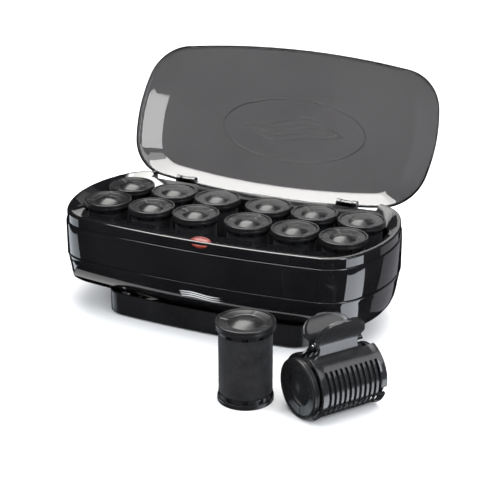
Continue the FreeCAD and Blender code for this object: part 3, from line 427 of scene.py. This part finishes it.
def sleeve_mesh(kind):
    """The flocked sleeve, a little uneven as short fibres are."""
    size = SIZES[kind]
    inner, outer = size["flock"] - 1.35, size["flock"]
    low, high = RING_TOP + SLEEVE_GAP, size["length"] - NECK_DOWN - SLEEVE_GAP
    levels = [low + (high - low) * k / 26 for k in range(27)]
    path = [Vector((inner, low)), Vector((outer - 0.5, low))]
    path += [Vector((outer, z)) for z in levels[1:-1]]
    path += [Vector((outer - 0.5, high)), Vector((inner, high))]

    def shape(n, angle):
        radius, height = path[n]
        if radius < outer - 0.1:
            return 0, 0
        spot = Vector((math.cos(angle) * 9, math.sin(angle) * 9, height * 0.45))
        return 0.12 * noise(spot), 0

    bm = bmesh.new()
    lathe(bm, path, 96, shape=shape)
    return bm


def place_copy(name, bm, body, look, placed, replaces):
    """A placed copy of a mesh that several rollers share."""
    copied = bm.copy()
    bmesh.ops.transform(copied, matrix=placed, verts=copied.verts)
    finish_mesh(name, copied, body, MATERIALS[look], replaces, sharp=32)


def make_rollers():
    """Twelve rollers on their posts, one standing and one lying in the clip."""
    cores = {kind: core_mesh(kind) for kind in SIZES}
    sleeves = {kind: sleeve_mesh(kind) for kind in SIZES}

    def put(body, kind, placed, core_nodes):
        place_copy(f"{body}_shell", cores[kind], body, "satin_black", placed, core_nodes)
        place_copy(f"{body}_flocking", sleeves[kind], body, "flock", placed, [f"{body}_sleeve"])

    places = [(x, y) for y in ROWS for x in COLUMNS]
    for n, (x, y) in enumerate(places, 1):
        body = f"roller_{n:02d}"
        turned = Matrix.Rotation(ROLLER_TWIST * n, 4, "Z")
        put(body, "jumbo", Matrix.Translation((x, y, ROLLER_LEVEL)) @ turned, [f"{body}_core"])
    standing = Matrix.Translation(STANDING_PLACE)
    flipped = Matrix.Translation((0, 0, SIZES["large"]["length"])) @ Matrix.Rotation(math.pi, 4, "X")
    for body, placed in (("standing_roller", standing), ("clipped_roller", LYING @ flipped)):
        put(body, "large", placed, [f"{body}_core", f"{body}_cap"])
    for shared in (*cores.values(), *sleeves.values()):
        shared.free()


# ---------------------------------------------------------------- clip
TURN = math.radians(56)
LYING_PLACE = (139.8, -178.1, 25)
LYING = Matrix.Translation(LYING_PLACE) @ Matrix(((0, math.sin(TURN), math.cos(TURN), 0),
                                                  (0, -math.cos(TURN), math.sin(TURN), 0),
                                                  (1, 0, 0, 0),
                                                  (0, 0, 0, 1)))
CLIP_MIDDLE = 37.5
JAW_INNER, JAW_OUTER = 25.4, 27.6
SLOT_COUNT, SLOT_PITCH = 11, 4.8
SLOT_HALF, TOOTH_GAP_HALF = 1.05, 1.5
COMB_START, COMB_STOP, END_BAND = 6.5, 68.5, 3.2
TEETH_FROM = 113
HINGE_UP = 33
KNUCKLE_LENGTH, KNUCKLE_RADIUS, KNUCKLE_BORE = 6, 3.2, 1.56


def jaw_comb(bm, side):
    """The curved comb: a solid top band, end rings, eleven slots and a notch near its far end."""
    start, stop = COMB_START, COMB_STOP
    turns = [16, 22, 29, 34, 40, 46, 52, 58, 64, 70, 77, 84, 91, 98, 105, 112, 115, 121, 127, 133, 139, 144,
             150]
    first, last = turns.index(46), turns.index(144)
    notch = (turns.index(98), turns.index(112))
    centres = [CLIP_MIDDLE + (k - (SLOT_COUNT - 1) / 2) * SLOT_PITCH for k in range(SLOT_COUNT)]

    def lines(turn):
        half = SLOT_HALF if turn < TEETH_FROM else TOOTH_GAP_HALF
        edges = [start, start + END_BAND]
        for centre in centres:
            edges += [centre - half, centre + half]
        return edges + [stop - END_BAND, stop]

    count = len(lines(16))

    def open_cell(i, j):
        slot = first <= i < last and 2 <= j < count - 3 and j % 2 == 0
        return slot or (notch[0] <= i < notch[1] and j >= count - 3)

    def vertex(turn, s, ring):
        thinned = 0.7 if turn > TEETH_FROM and start < s < stop else 0
        lip = 0 if start + END_BAND < s < stop - END_BAND else 0.5
        radius = (JAW_OUTER - thinned + lip) if ring else JAW_INNER
        angle = math.radians(turn)
        return bm.verts.new((radius * math.cos(angle), side * radius * math.sin(angle), s))

    grid = [[[vertex(t, s, ring) for s in lines(t)] for t in turns] for ring in (0, 1)]
    rows, columns = len(turns) - 1, count - 1

    def solid(i, j):
        return 0 <= i < rows and 0 <= j < columns and not open_cell(i, j)

    for i in range(rows):
        for j in range(columns):
            if not solid(i, j):
                continue
            for layer in grid:
                bm.faces.new((layer[i][j], layer[i][j + 1], layer[i + 1][j + 1], layer[i + 1][j]))
            walls = {(i - 1, j): ((i, j), (i, j + 1)), (i + 1, j): ((i + 1, j), (i + 1, j + 1)),
                     (i, j - 1): ((i, j), (i + 1, j)), (i, j + 1): ((i, j + 1), (i + 1, j + 1))}
            for neighbour, ((a, b), (c, d)) in walls.items():
                if not solid(*neighbour):
                    bm.faces.new((grid[0][a][b], grid[0][c][d], grid[1][c][d], grid[1][a][b]))


WEB_PATH = [(25.0, 7.9, 26.5), (26.2, 7.3, 23.6), (27.6, 7.0, 20.6), (29.2, 6.9, 19.3), (31.2, 6.9, 18.8),
            (33.6, 6.9, 18.6), (35.8, 6.95, 19.0), (37.4, 7.3, 20.4)]
WING_HALF, WING_ROWS = 24, 14
WING_MIDDLE = CLIP_MIDDLE - 3.5
WING_THICK, WING_RIM, WING_BOW = 0.95, 0.65, 1.8
FRONT_WING = dict(length=24, lean=(14, 36))
BACK_WING = dict(length=17, lean=(24, 58))


def wing_path(length, lean):
    """Up the neck, then out along the wing: height, distance from the middle plane and half width."""
    path = list(WEB_PATH)
    run = length / WING_ROWS
    for n in range(1, WING_ROWS + 1):
        share = n / WING_ROWS
        up, out, _ = path[-1]
        angle = math.radians(lean[0] + (lean[1] - lean[0]) * share)
        arch = math.sqrt(max(0.03, 1 - share**2.6))
        grow = 0.86 + 0.14 * math.sin(min(1, share / 0.25) * math.pi / 2)
        path.append((up + run * math.cos(angle), out + run * math.sin(angle), WING_HALF * grow * arch))
    return path


def jaw_wing(bm, side):
    """The neck web rising from the jaw's top edge and the arched paddle above it, thicker at its rim."""
    stations = wing_path(**(FRONT_WING if side > 0 else BACK_WING))
    path = [Vector((u, v)) for u, v, _ in stations]
    across = 22
    sheets = ([], [])
    for n, (u, v, half) in enumerate(stations):
        along = (path[min(n + 1, len(path) - 1)] - path[max(n - 1, 0)]).normalized()
        normal = Vector((-along.y, along.x))
        on_wing = max(0, n - len(WEB_PATH)) / WING_ROWS
        for sheet, way in zip(sheets, (-1, 1)):
            row = []
            for k in range(across + 1):
                share = 2 * k / across - 1
                rim = WING_RIM if on_wing > 0.88 or (on_wing > 0.12 and abs(share) > 0.86) else 0
                bow = WING_BOW * (1 - share * share) * on_wing
                point = Vector((u, v)) + normal * way * (WING_THICK + rim) + Vector((0.4 * bow, 0.8 * bow))
                row.append(bm.verts.new((point.x, side * point.y, WING_MIDDLE + share * half)))
            sheet.append(row)
    for sheet in sheets:
        quads(bm, sheet)
    low, high = sheets
    for k in (0, across):
        quads(bm, [[row[k] for row in low], [row[k] for row in high]])
    for i in (0, -1):
        quads(bm, [low[i], high[i]])


def block(bm, low, high):
    """A block between two corners; the piece's bevel rounds its edges."""
    made = bmesh.ops.create_cube(bm, size=1)["verts"]
    low, high = Vector(low), Vector(high)
    size = high - low
    bmesh.ops.scale(bm, vec=size, verts=made)
    bmesh.ops.translate(bm, vec=(low + high) / 2, verts=made)


def jaw_knuckles(bm, side):
    """Two barrels on the hinge pin and the arms that join them to the web."""
    steps = (-19, 12) if side > 0 else (-12, 19)
    for step in steps:
        low = CLIP_MIDDLE + step - KNUCKLE_LENGTH / 2
        high = low + KNUCKLE_LENGTH
        ring = rounded([(KNUCKLE_BORE, low, 0.2), (KNUCKLE_RADIUS, low, 0.4),
                        (KNUCKLE_RADIUS, high, 0.4), (KNUCKLE_BORE, high, 0.2)])
        lathe(bm, ring, 32, Matrix.Translation((HINGE_UP, 0, 0)))
        ends = sorted((side * 2.4, side * 7.2))
        block(bm, (HINGE_UP - 2.5, ends[0], low + 0.3), (HINGE_UP + 0.9, ends[1], high - 0.3))


def make_clip():
    """Both jaws, each a comb, a wing and its hinge knuckles, and the spring and pin between them."""
    look = MATERIALS["clip_black"]
    for name, side, body in (("clip_front_jaw", 1, "clip_front"), ("clip_back_jaw", -1, "clip")):
        short = name.replace("_jaw", "")
        for part, maker, bevel, subsurf in (("comb", jaw_comb, 0.35, 0), ("wing", jaw_wing, 0, 2),
                                            ("knuckles", jaw_knuckles, 0.3, 0)):
            bm = bmesh.new()
            maker(bm, side)
            bmesh.ops.transform(bm, matrix=LYING, verts=bm.verts)
            finish_mesh(f"{short}_{part}", bm, body, look,
                        [name] if part == "comb" else (), 50, bevel, subsurf)
    make_spring()


def make_spring():
    """A torsion spring round the pin, a leg against each wing, and the pin with its rivet head."""
    turns, steps, reach, wire, half = 7, 28, 3.75, 0.5, 4.5
    coil = []
    for k in range(turns * steps + 1):
        angle = 2 * math.pi * k / steps
        along = CLIP_MIDDLE - half + 2 * half * k / (turns * steps)
        coil.append((HINGE_UP + reach * math.cos(angle), reach * math.sin(angle), along))
    back_leg = [(HINGE_UP + up, aside, CLIP_MIDDLE - half) for up, aside in ((4.6, -5.6), (2.4, -4.9))]
    bm = bmesh.new()
    tube(bm, back_leg + coil, wire, 8, LYING)
    finish_mesh("clip_coil_spring", bm, "clip", MATERIALS["steel"], ["clip_spring"], 60)
    front_leg = [(HINGE_UP + up, aside, CLIP_MIDDLE + half)
                 for up, aside in ((0.6, 5), (2.4, 5.2), (4.6, 5.5))]
    bm = bmesh.new()
    tube(bm, front_leg, wire, 8, LYING)
    finish_mesh("clip_spring_leg", bm, "clip_front", MATERIALS["steel"], (), 60)
    pin, head, low, high = 1.5, 2.1, CLIP_MIDDLE - 24, CLIP_MIDDLE + 23
    rod = [(0, low, 0), (head, low, 0.4), (head, low + 1, 0.1), (pin, low + 1, 0), (pin, high, 0.3),
           (0, high, 0)]
    bm = bmesh.new()
    lathe(bm, rounded(rod), 32, LYING @ Matrix.Translation((HINGE_UP, 0, 0)))
    finish_mesh("clip_hinge_pin", bm, "clip", MATERIALS["steel"], ["clip_pin"], 40)


# ---------------------------------------------------------------- lid
LID = dict(half_length=157, half_depth=76, side_bow=848, end_bow=165, corner=44)
LID_WALL = 2.0
CORNER_GROWTH = 0.4
OPEN = Matrix.Translation((0, 113.68, 147.92)) @ Matrix.Rotation(math.radians(-120), 4, "X")
LID_OUTER = [(0, 0, 0), (1.6, 0.2, 0.2), (3, 0.7, 0.9), (4.1, 1.6, 2.2), (5, 2.9, 4.2), (6.4, 5, 8.4),
             (8.2, 7.8, 13.4), (10, 10.6, 18.6), (11.4, 12.8, 22.6), (12.3, 14.4, 25.4), (12.8, 16, 28),
             (13, 18, 31)]


def spline(points, steps):
    """A Catmull-Rom curve through the points."""
    points = [Vector(p) for p in points]
    padded = [2 * points[0] - points[1]] + points + [2 * points[-1] - points[-2]]
    path = []
    for a, b, c, d in zip(padded, padded[1:], padded[2:], padded[3:]):
        for k in range(steps):
            t = k / steps
            path.append(0.5 * (2 * b + (c - a) * t + (2 * a - 5 * b + 4 * c - d) * t**2
                               + (3 * b - a - 3 * c + d) * t**3))
    return path + [points[-1]]


def make_lid():
    """The dished smoke cover, with a rounded bead round its open edge."""
    outer = spline(LID_OUTER, 2)
    inner = []
    for n, point in enumerate(outer):
        along = outer[min(n + 1, len(outer) - 1)] - outer[max(n - 1, 0)]
        inwards = Vector((-along.y, along.x)).normalized() * LID_WALL
        inner.append(point + Vector((inwards.x, inwards.y, inwards.y)))
    bead = [Vector((height, inset, inset))
            for height, inset in ((-0.12, 0.4), (-0.2, LID_WALL / 2), (-0.12, LID_WALL - 0.4))]
    path = list(reversed(inner)) + list(reversed(bead)) + outer
    rings = []
    for height, at_side, at_end in path:
        half_depth = LID["half_depth"] - at_side + at_end
        shape = dict(LID, half_depth=half_depth, corner=LID["corner"] + at_end * CORNER_GROWTH)
        rings.append([(x, y, height) for x, y in oval(**shape, inset=at_end)])
    bm = bmesh.new()
    loft(bm, rings, OPEN, closed=False, ends=(0, -1))
    lid = finish_mesh("lid_cover", bm, "lid", MATERIALS["smoke_plastic"], ["lid"], 40)
    lid.visible_shadow = False
    make_lid_knuckles()
    make_emboss()


def make_lid_knuckles():
    """Barrels on the hinge pins, each with a short foot that grips the lid's back wall."""
    axis_y, axis_z = 70, -5.4
    bore, radius, half = 2.05, 3.8, 5.7
    bm = bmesh.new()
    for x in (-85, 85):
        ring = rounded([(bore, -half, 0.2), (radius, -half, 0.5), (radius, half, 0.5), (bore, half, 0.2)])
        turned = Matrix.Translation((x, axis_y, axis_z)) @ Matrix.Rotation(math.pi / 2, 4, "Y")
        lathe(bm, ring, 40, turned)
        block(bm, (x - 5.5, axis_y - 1.4, axis_z + 2.4), (x + 5.5, axis_y + 1.5, 2.2))
    bmesh.ops.transform(bm, matrix=OPEN, verts=bm.verts)
    finish_mesh("lid_knuckles", bm, "lid", MATERIALS["smoke_plastic"], (), 40, 0.3)


def make_emboss():
    """A plain raised motif inside the lid: an oval line round five loose wavy strands."""
    level = 10.95
    middle_x, middle_y, half_length, half_depth = 9, 3, 75, 31
    first_x, length, spacing, sway = -42, 104, 5.4, 5
    bm = bmesh.new()
    oval_line = [(middle_x + half_length * math.cos(t), middle_y + half_depth * math.sin(t), level)
                 for t in (2 * math.pi * k / 160 for k in range(161))]
    tube(bm, oval_line, 0.35, 8, OPEN)
    for strand in range(5):
        points = []
        for k in range(61):
            share = k / 60
            swell = math.sin(math.pi * share)
            wave = sway * math.sin(2 * math.pi * share + 0.5)
            y = middle_y + (strand - 2) * spacing * swell + wave * swell
            points.append((first_x + length * share, y, level))
        tube(bm, points, 0.28, 8, OPEN)
    finish_mesh("lid_motif", bm, "lid", MATERIALS["smoke_plastic"], (), 60)


# ---------------------------------------------------------------- small parts
def make_indicator():
    """The red lens: a crowned oval that leans forward over the rim, with a thinner, brighter edge."""
    half_length, half_width, lean = 10.2, 5.2, math.radians(42)
    placed = Matrix.Translation((7.5, -80.7, 93.8)) @ Matrix.Rotation(lean, 4, "X")
    levels = [(0, -1.5), (0, 0.4), (0.25, 0.9), (0.8, 1.15), (1.5, 0.95), (2, 0.9), (2.7, 1.3), (3.8, 1.75),
              (5, 1.95)]
    rings = [[((half_length - inset) * math.cos(t), (half_width - inset) * math.sin(t), height)
              for t in (2 * math.pi * k / 64 for k in range(64))] for inset, height in levels]
    bm = bmesh.new()
    loft(bm, rings, placed, closed=False, ends=(0, -1))
    finish_mesh("indicator_window", bm, "case", MATERIALS["red_lens"], ["indicator_lens"], 45)


# ---------------------------------------------------------------- case
CASE = dict(half_length=158.5, half_depth=85, side_bow=900, end_bow=120, corner=41)
CREASE_LEVEL, RIM_LEVEL, WALL = 55.15, 85.35, 2.4
BAY_HALF, BAY_FRONT, BAY_LEVEL = 118, 62, 80.4
BAY_EDGE = 0.05
LOWER_LEVELS = [(54.85, 0, 0), (50.5, 0.7, 1.2), (46, 1.4, 3), (40, 2.5, 6.4), (35, 3.2, 10), (30, 4.2, 14.4),
                (26, 5.8, 18.8), (22.5, 8.4, 23.4), (20.6, 11.4, 25.6), (19.5, 16, 27)]


def make_upper_housing():
    """The band round the case, with softened edges and a notch at the back for the hinge bay."""
    path = rounded([(0, CREASE_LEVEL, 0.9), (0, RIM_LEVEL, 0.9), (WALL, RIM_LEVEL, 0.3),
                    (WALL, CREASE_LEVEL, 0.3)])
    base = oval(**CASE)
    crossings = [k for k in range(len(base)) if base[k][1] > BAY_FRONT
                 and (abs(base[k][0]) - BAY_HALF) * (abs(base[(k + 1) % len(base)][0]) - BAY_HALF) < 0]

    def ring(inset, height):
        points = oval(**CASE, inset=inset)
        made = []
        for k, (x, y) in enumerate(points):
            made.append((x, y))
            if k in crossings:
                ahead = Vector(points[(k + 1) % len(points)]) - Vector((x, y))
                outward = 1 if ahead.x * x > 0 else -1
                for edge in (-BAY_EDGE * outward, BAY_EDGE * outward):
                    share = (math.copysign(BAY_HALF + edge, x) - x) / ahead.x
                    made.append((x + ahead.x * share, y + ahead.y * share))
        return [(x, y, min(height, BAY_LEVEL) if y > BAY_FRONT and abs(x) < BAY_HALF else height)
                for x, y in made]

    bm = bmesh.new()
    loft(bm, [ring(inset, height) for inset, height in path])
    finish_mesh("case_upper_shell", bm, "case", MATERIALS["gloss_black"], ["upper_housing"],
                50)


def resampled(points, count):
    """The polyline cut into count equal runs."""
    points = [Vector(p) for p in points]
    lengths = [0]
    for a, b in zip(points, points[1:]):
        lengths.append(lengths[-1] + (b - a).length)
    made = []
    for n in range(count + 1):
        goal = lengths[-1] * n / count
        k = max(i for i in range(len(points) - 1) if lengths[i] <= goal + 1e-9)
        run = lengths[k + 1] - lengths[k]
        made.append(points[k].lerp(points[k + 1], min(1, (goal - lengths[k]) / run) if run else 0))
    return made


def keel_ring(height, end_in, side_in, shrink=(1, 1)):
    """A section of the lower housing: rounded ends cut by the sloping sides, which meet at an edge."""
    outline = oval(**CASE, inset=end_in)
    end_steps = END_STEPS + CORNER_STEPS
    quarter = [Vector(p) for p in outline[:end_steps + SIDE_STEPS + 1]]
    side_y, radius = CASE["half_depth"] - CASE["side_bow"], CASE["side_bow"] - side_in
    beyond = [k for k, p in enumerate(quarter) if k and math.hypot(p.x, p.y - side_y) > radius - 1e-4]
    cut = beyond[0] if beyond else end_steps
    reach = [math.hypot(p.x, p.y - side_y) - radius for p in (quarter[cut - 1], quarter[cut])]
    share = min(1, max(0, -reach[0] / (reach[1] - reach[0]))) if reach[1] != reach[0] else 0
    corner = quarter[cut - 1].lerp(quarter[cut], share)
    end = resampled(quarter[:cut] + [corner], end_steps)
    side = [Vector((corner.x * (1 - k / SIDE_STEPS), 0)) for k in range(SIDE_STEPS + 1)]
    side = [Vector((p.x, side_y + math.sqrt(radius**2 - p.x**2))) for p in side]
    near_corner = [end[-2].lerp(corner, 0.8), corner, corner.lerp(side[1], 0.12)]
    points = end[:-1] + near_corner + side[1:]
    left = [Vector((-p.x, p.y)) for p in reversed(points[:-1])]
    top = points + left
    ring = top + [Vector((p.x, -p.y)) for p in reversed(top[1:-1])]
    return [(p.x * shrink[0], p.y * shrink[1], height) for p in ring]


def make_lower_housing():
    """The tray under the crease: ends that round under and side panels that slope in."""
    rings = [keel_ring(53.4, -0.1, -0.1), keel_ring(54.2, -0.1, -0.1), keel_ring(54.7, 0.2, 0.2),
             keel_ring(54.85, 0.7, 0.7), keel_ring(54.85, 2.4, 2.4), keel_ring(52, 2.9, 3.4)]
    inner = [keel_ring(z + 0.4, e + WALL, s + WALL) for z, e, s in LOWER_LEVELS[1:-3]]
    under = [keel_ring(22.6, 19, 26, (0.76, 0.97)), keel_ring(19.5, 19, 27, (0.72, 0.97))]
    outer = [keel_ring(z, e, s) for z, e, s in reversed(LOWER_LEVELS[1:])]
    bm = bmesh.new()
    loft(bm, rings + inner + under + outer)
    finish_mesh("case_lower_shell", bm, "case", MATERIALS["gloss_black"], ["lower_housing"],
                50)


PEDESTAL = dict(half_length=105, half_depth=69.5, side_bow=950, end_bow=400, corner=19)


def make_pedestal():
    """The skirt under the tray, with soft edges and well rounded corners."""
    low, high, wall = 1.2, 22.3, 2.5
    path = rounded([(0, low, 1.2), (0, high, 0.3), (wall, high, 0.3), (wall, low, 0.4)])
    bm = bmesh.new()
    loft(bm, [[(x, y, height) for x, y in oval(**PEDESTAL, inset=inset)] for inset, height in path])
    finish_mesh("pedestal_skirt", bm, "case", MATERIALS["satin_black"], ["pedestal"], 50)


def side_point(x, height, proud):
    """A point on the front side panel of the lower housing, a little proud of it."""
    for (z1, _, s1), (z2, _, s2) in zip(LOWER_LEVELS, LOWER_LEVELS[1:]):
        if z1 >= height >= z2:
            side_in = s1 + (s2 - s1) * (z1 - height) / (z1 - z2)
            break
    radius = CASE["side_bow"] - side_in + proud
    return Vector((x, -(CASE["half_depth"] - CASE["side_bow"] + math.sqrt(radius**2 - x**2)), height))


def make_front_mark():
    """A plain printed motif on the front panel: three short wavy strands, no lettering."""
    first_x, length, top_level, spacing, thick = -14, 42, 44.2, 2.7, 0.75
    bm = bmesh.new()
    for strand in range(3):
        rings = []
        for k in range(41):
            share = k / 40
            x = first_x + length * share
            middle = top_level - spacing * strand + 1.1 * math.sin(2 * math.pi * share)
            half = thick * math.sin(math.pi * min(1, 0.08 + share))**0.5
            rings.append([side_point(x, middle + lift, proud)
                          for lift, proud in ((half, 0.12), (half, -0.1), (-half, -0.1), (-half, 0.12))])
        loft(bm, rings, closed=False, ends=(0, -1))
    finish_mesh("front_mark", bm, "case", MATERIALS["print_white"], (), 40)


# ---------------------------------------------------------------- stage, light and camera
def make_stage():
    """A wide pale floor that glossy surfaces don't reflect."""
    bm = bmesh.new()
    bmesh.ops.create_grid(bm, x_segments=4, y_segments=4, size=14)
    mesh = bpy.data.meshes.new("floor")
    bm.to_mesh(mesh)
    bm.free()
    made, tree, shader = material("floor", (0.86, 0.86, 0.86), 0.9, Specular_IOR_Level=0.0)
    grain = noise_of(tree, position(tree), 6, 3)
    tree.links.new(ramp(tree, grain, [(0, 0.85), (1, 0.87)]), shader.inputs["Base Color"])
    mesh.materials.append(made)
    floor = bpy.data.objects.new("floor", mesh)
    bpy.context.scene.collection.objects.link(floor)
    floor.visible_glossy = False


def area_light(name, place, target, size, power, colour=(1, 1, 1)):
    """A rectangular lamp, in metres and watts, that faces a target."""
    data = bpy.data.lights.new(name, "AREA")
    data.shape = "RECTANGLE"
    data.size, data.size_y = size
    data.energy = power
    data.color = colour
    lamp = bpy.data.objects.new(name, data)
    lamp.location = place
    lamp.rotation_mode = "QUATERNION"
    lamp.rotation_quaternion = (Vector(target) - Vector(place)).to_track_quat("-Z", "Y")
    bpy.context.scene.collection.objects.link(lamp)
    return lamp


def reflection_card(name, place, aim, size, radiance, colour=(1, 1, 1)):
    """A lit card that only shows as a reflection; size is its width and height in metres."""
    card = area_light(name, place, aim, size, math.pi * radiance * size[0] * size[1], colour)
    card.visible_diffuse = card.visible_transmission = card.visible_volume_scatter = False
    card.visible_camera = False


def make_cards():
    """Cards all round the set give its gloss the edges and strips of a studio."""
    middle = (0, 0, 0.07)
    reflection_card("right_strip", (1.7, 0.0, -1.0), middle, (1.3, 1.2), 5.2, (0.9, 0.94, 1.0))
    reflection_card("right_back_card", (0.9, 1.6, -0.71), middle, (1.3, 0.9), 0.5, (0.93, 0.93, 1.0))
    reflection_card("left_strip", (-1.84, -0.1, -0.71), middle, (1.5, 0.5), 2.4, (0.86, 0.93, 1.0))
    reflection_card("under_card", (-0.6, 0.42, -1.4), (-0.6, 0, 0.05), (1.5, 0.8), 0.9)
    reflection_card("horizon_card", (-0.65, 1.56, 0.2), middle, (0.6, 0.3), 0.9)
    reflection_card("over_card", (-0.6, 0.33, 1.6), (-0.6, 0, 0.07), (0.95, 2.0), 13, (1.0, 0.99, 0.96))
    reflection_card("lid_card", (0.13, -0.98, 1.32), (-0.14, 0.15, 0.22), (0.15, 0.5), 11)
    reflection_card("clip_card", (1.3, -0.05, 1.25), (0.14, -0.18, 0.05), (1.0, 0.9), 2.4)


def make_lights():
    """Soft light from above and both sides, and from behind for the lid."""
    area_light("top_soft", (0.1, 0.1, 1.9), (0, 0, 0), (2.2, 1.4), 42)
    left = area_light("left_soft", (-1.5, -0.7, 0.8), (0, 0, 0.06), (0.5, 1.2), 16, (0.9, 0.95, 1.0))
    area_light("right_soft", (1.1, -0.5, 0.7), (0.1, -0.05, 0.06), (0.3, 1.0), 9, (0.9, 0.94, 1.0))
    back = area_light("back_soft", (0.0, 1.7, 0.9), (0, 0, 0.1), (2.4, 0.8), 20)
    left.visible_glossy = False
    back.visible_glossy = False


def make_world(strength):
    """A pale sky that lights the set but isn't reflected in its gloss."""
    world = bpy.data.worlds.new("studio")
    bpy.context.scene.world = world
    world.use_nodes = True
    shade = world.node_tree.nodes["Background"]
    shade.inputs["Color"].default_value = (0.97, 0.98, 1.0, 1)
    shade.inputs["Strength"].default_value = strength
    world.cycles_visibility.glossy = False


def make_camera():
    """A long lens above and to the right of the front of the case."""
    data = bpy.data.cameras.new("camera")
    data.lens = 99.07
    data.sensor_width = 36
    data.clip_start, data.clip_end = 0.05, 60
    camera = bpy.data.objects.new("camera", data)
    camera.location = (0.50917, -1.07863, 0.53006)
    camera.rotation_mode = "QUATERNION"
    camera.rotation_quaternion = Vector((-0.38524, 0.84572, -0.36926)).to_track_quat("-Z", "Y")
    bpy.context.scene.collection.objects.link(camera)
    bpy.context.scene.camera = camera


dress_cad_nodes()
make_upper_housing()
make_lower_housing()
make_pedestal()
make_front_mark()
make_rollers()
make_clip()
make_lid()
make_indicator()
make_stage()
make_world(0.85)
make_lights()
make_cards()
make_camera()
bpy.context.scene.view_settings.view_transform = "Standard"
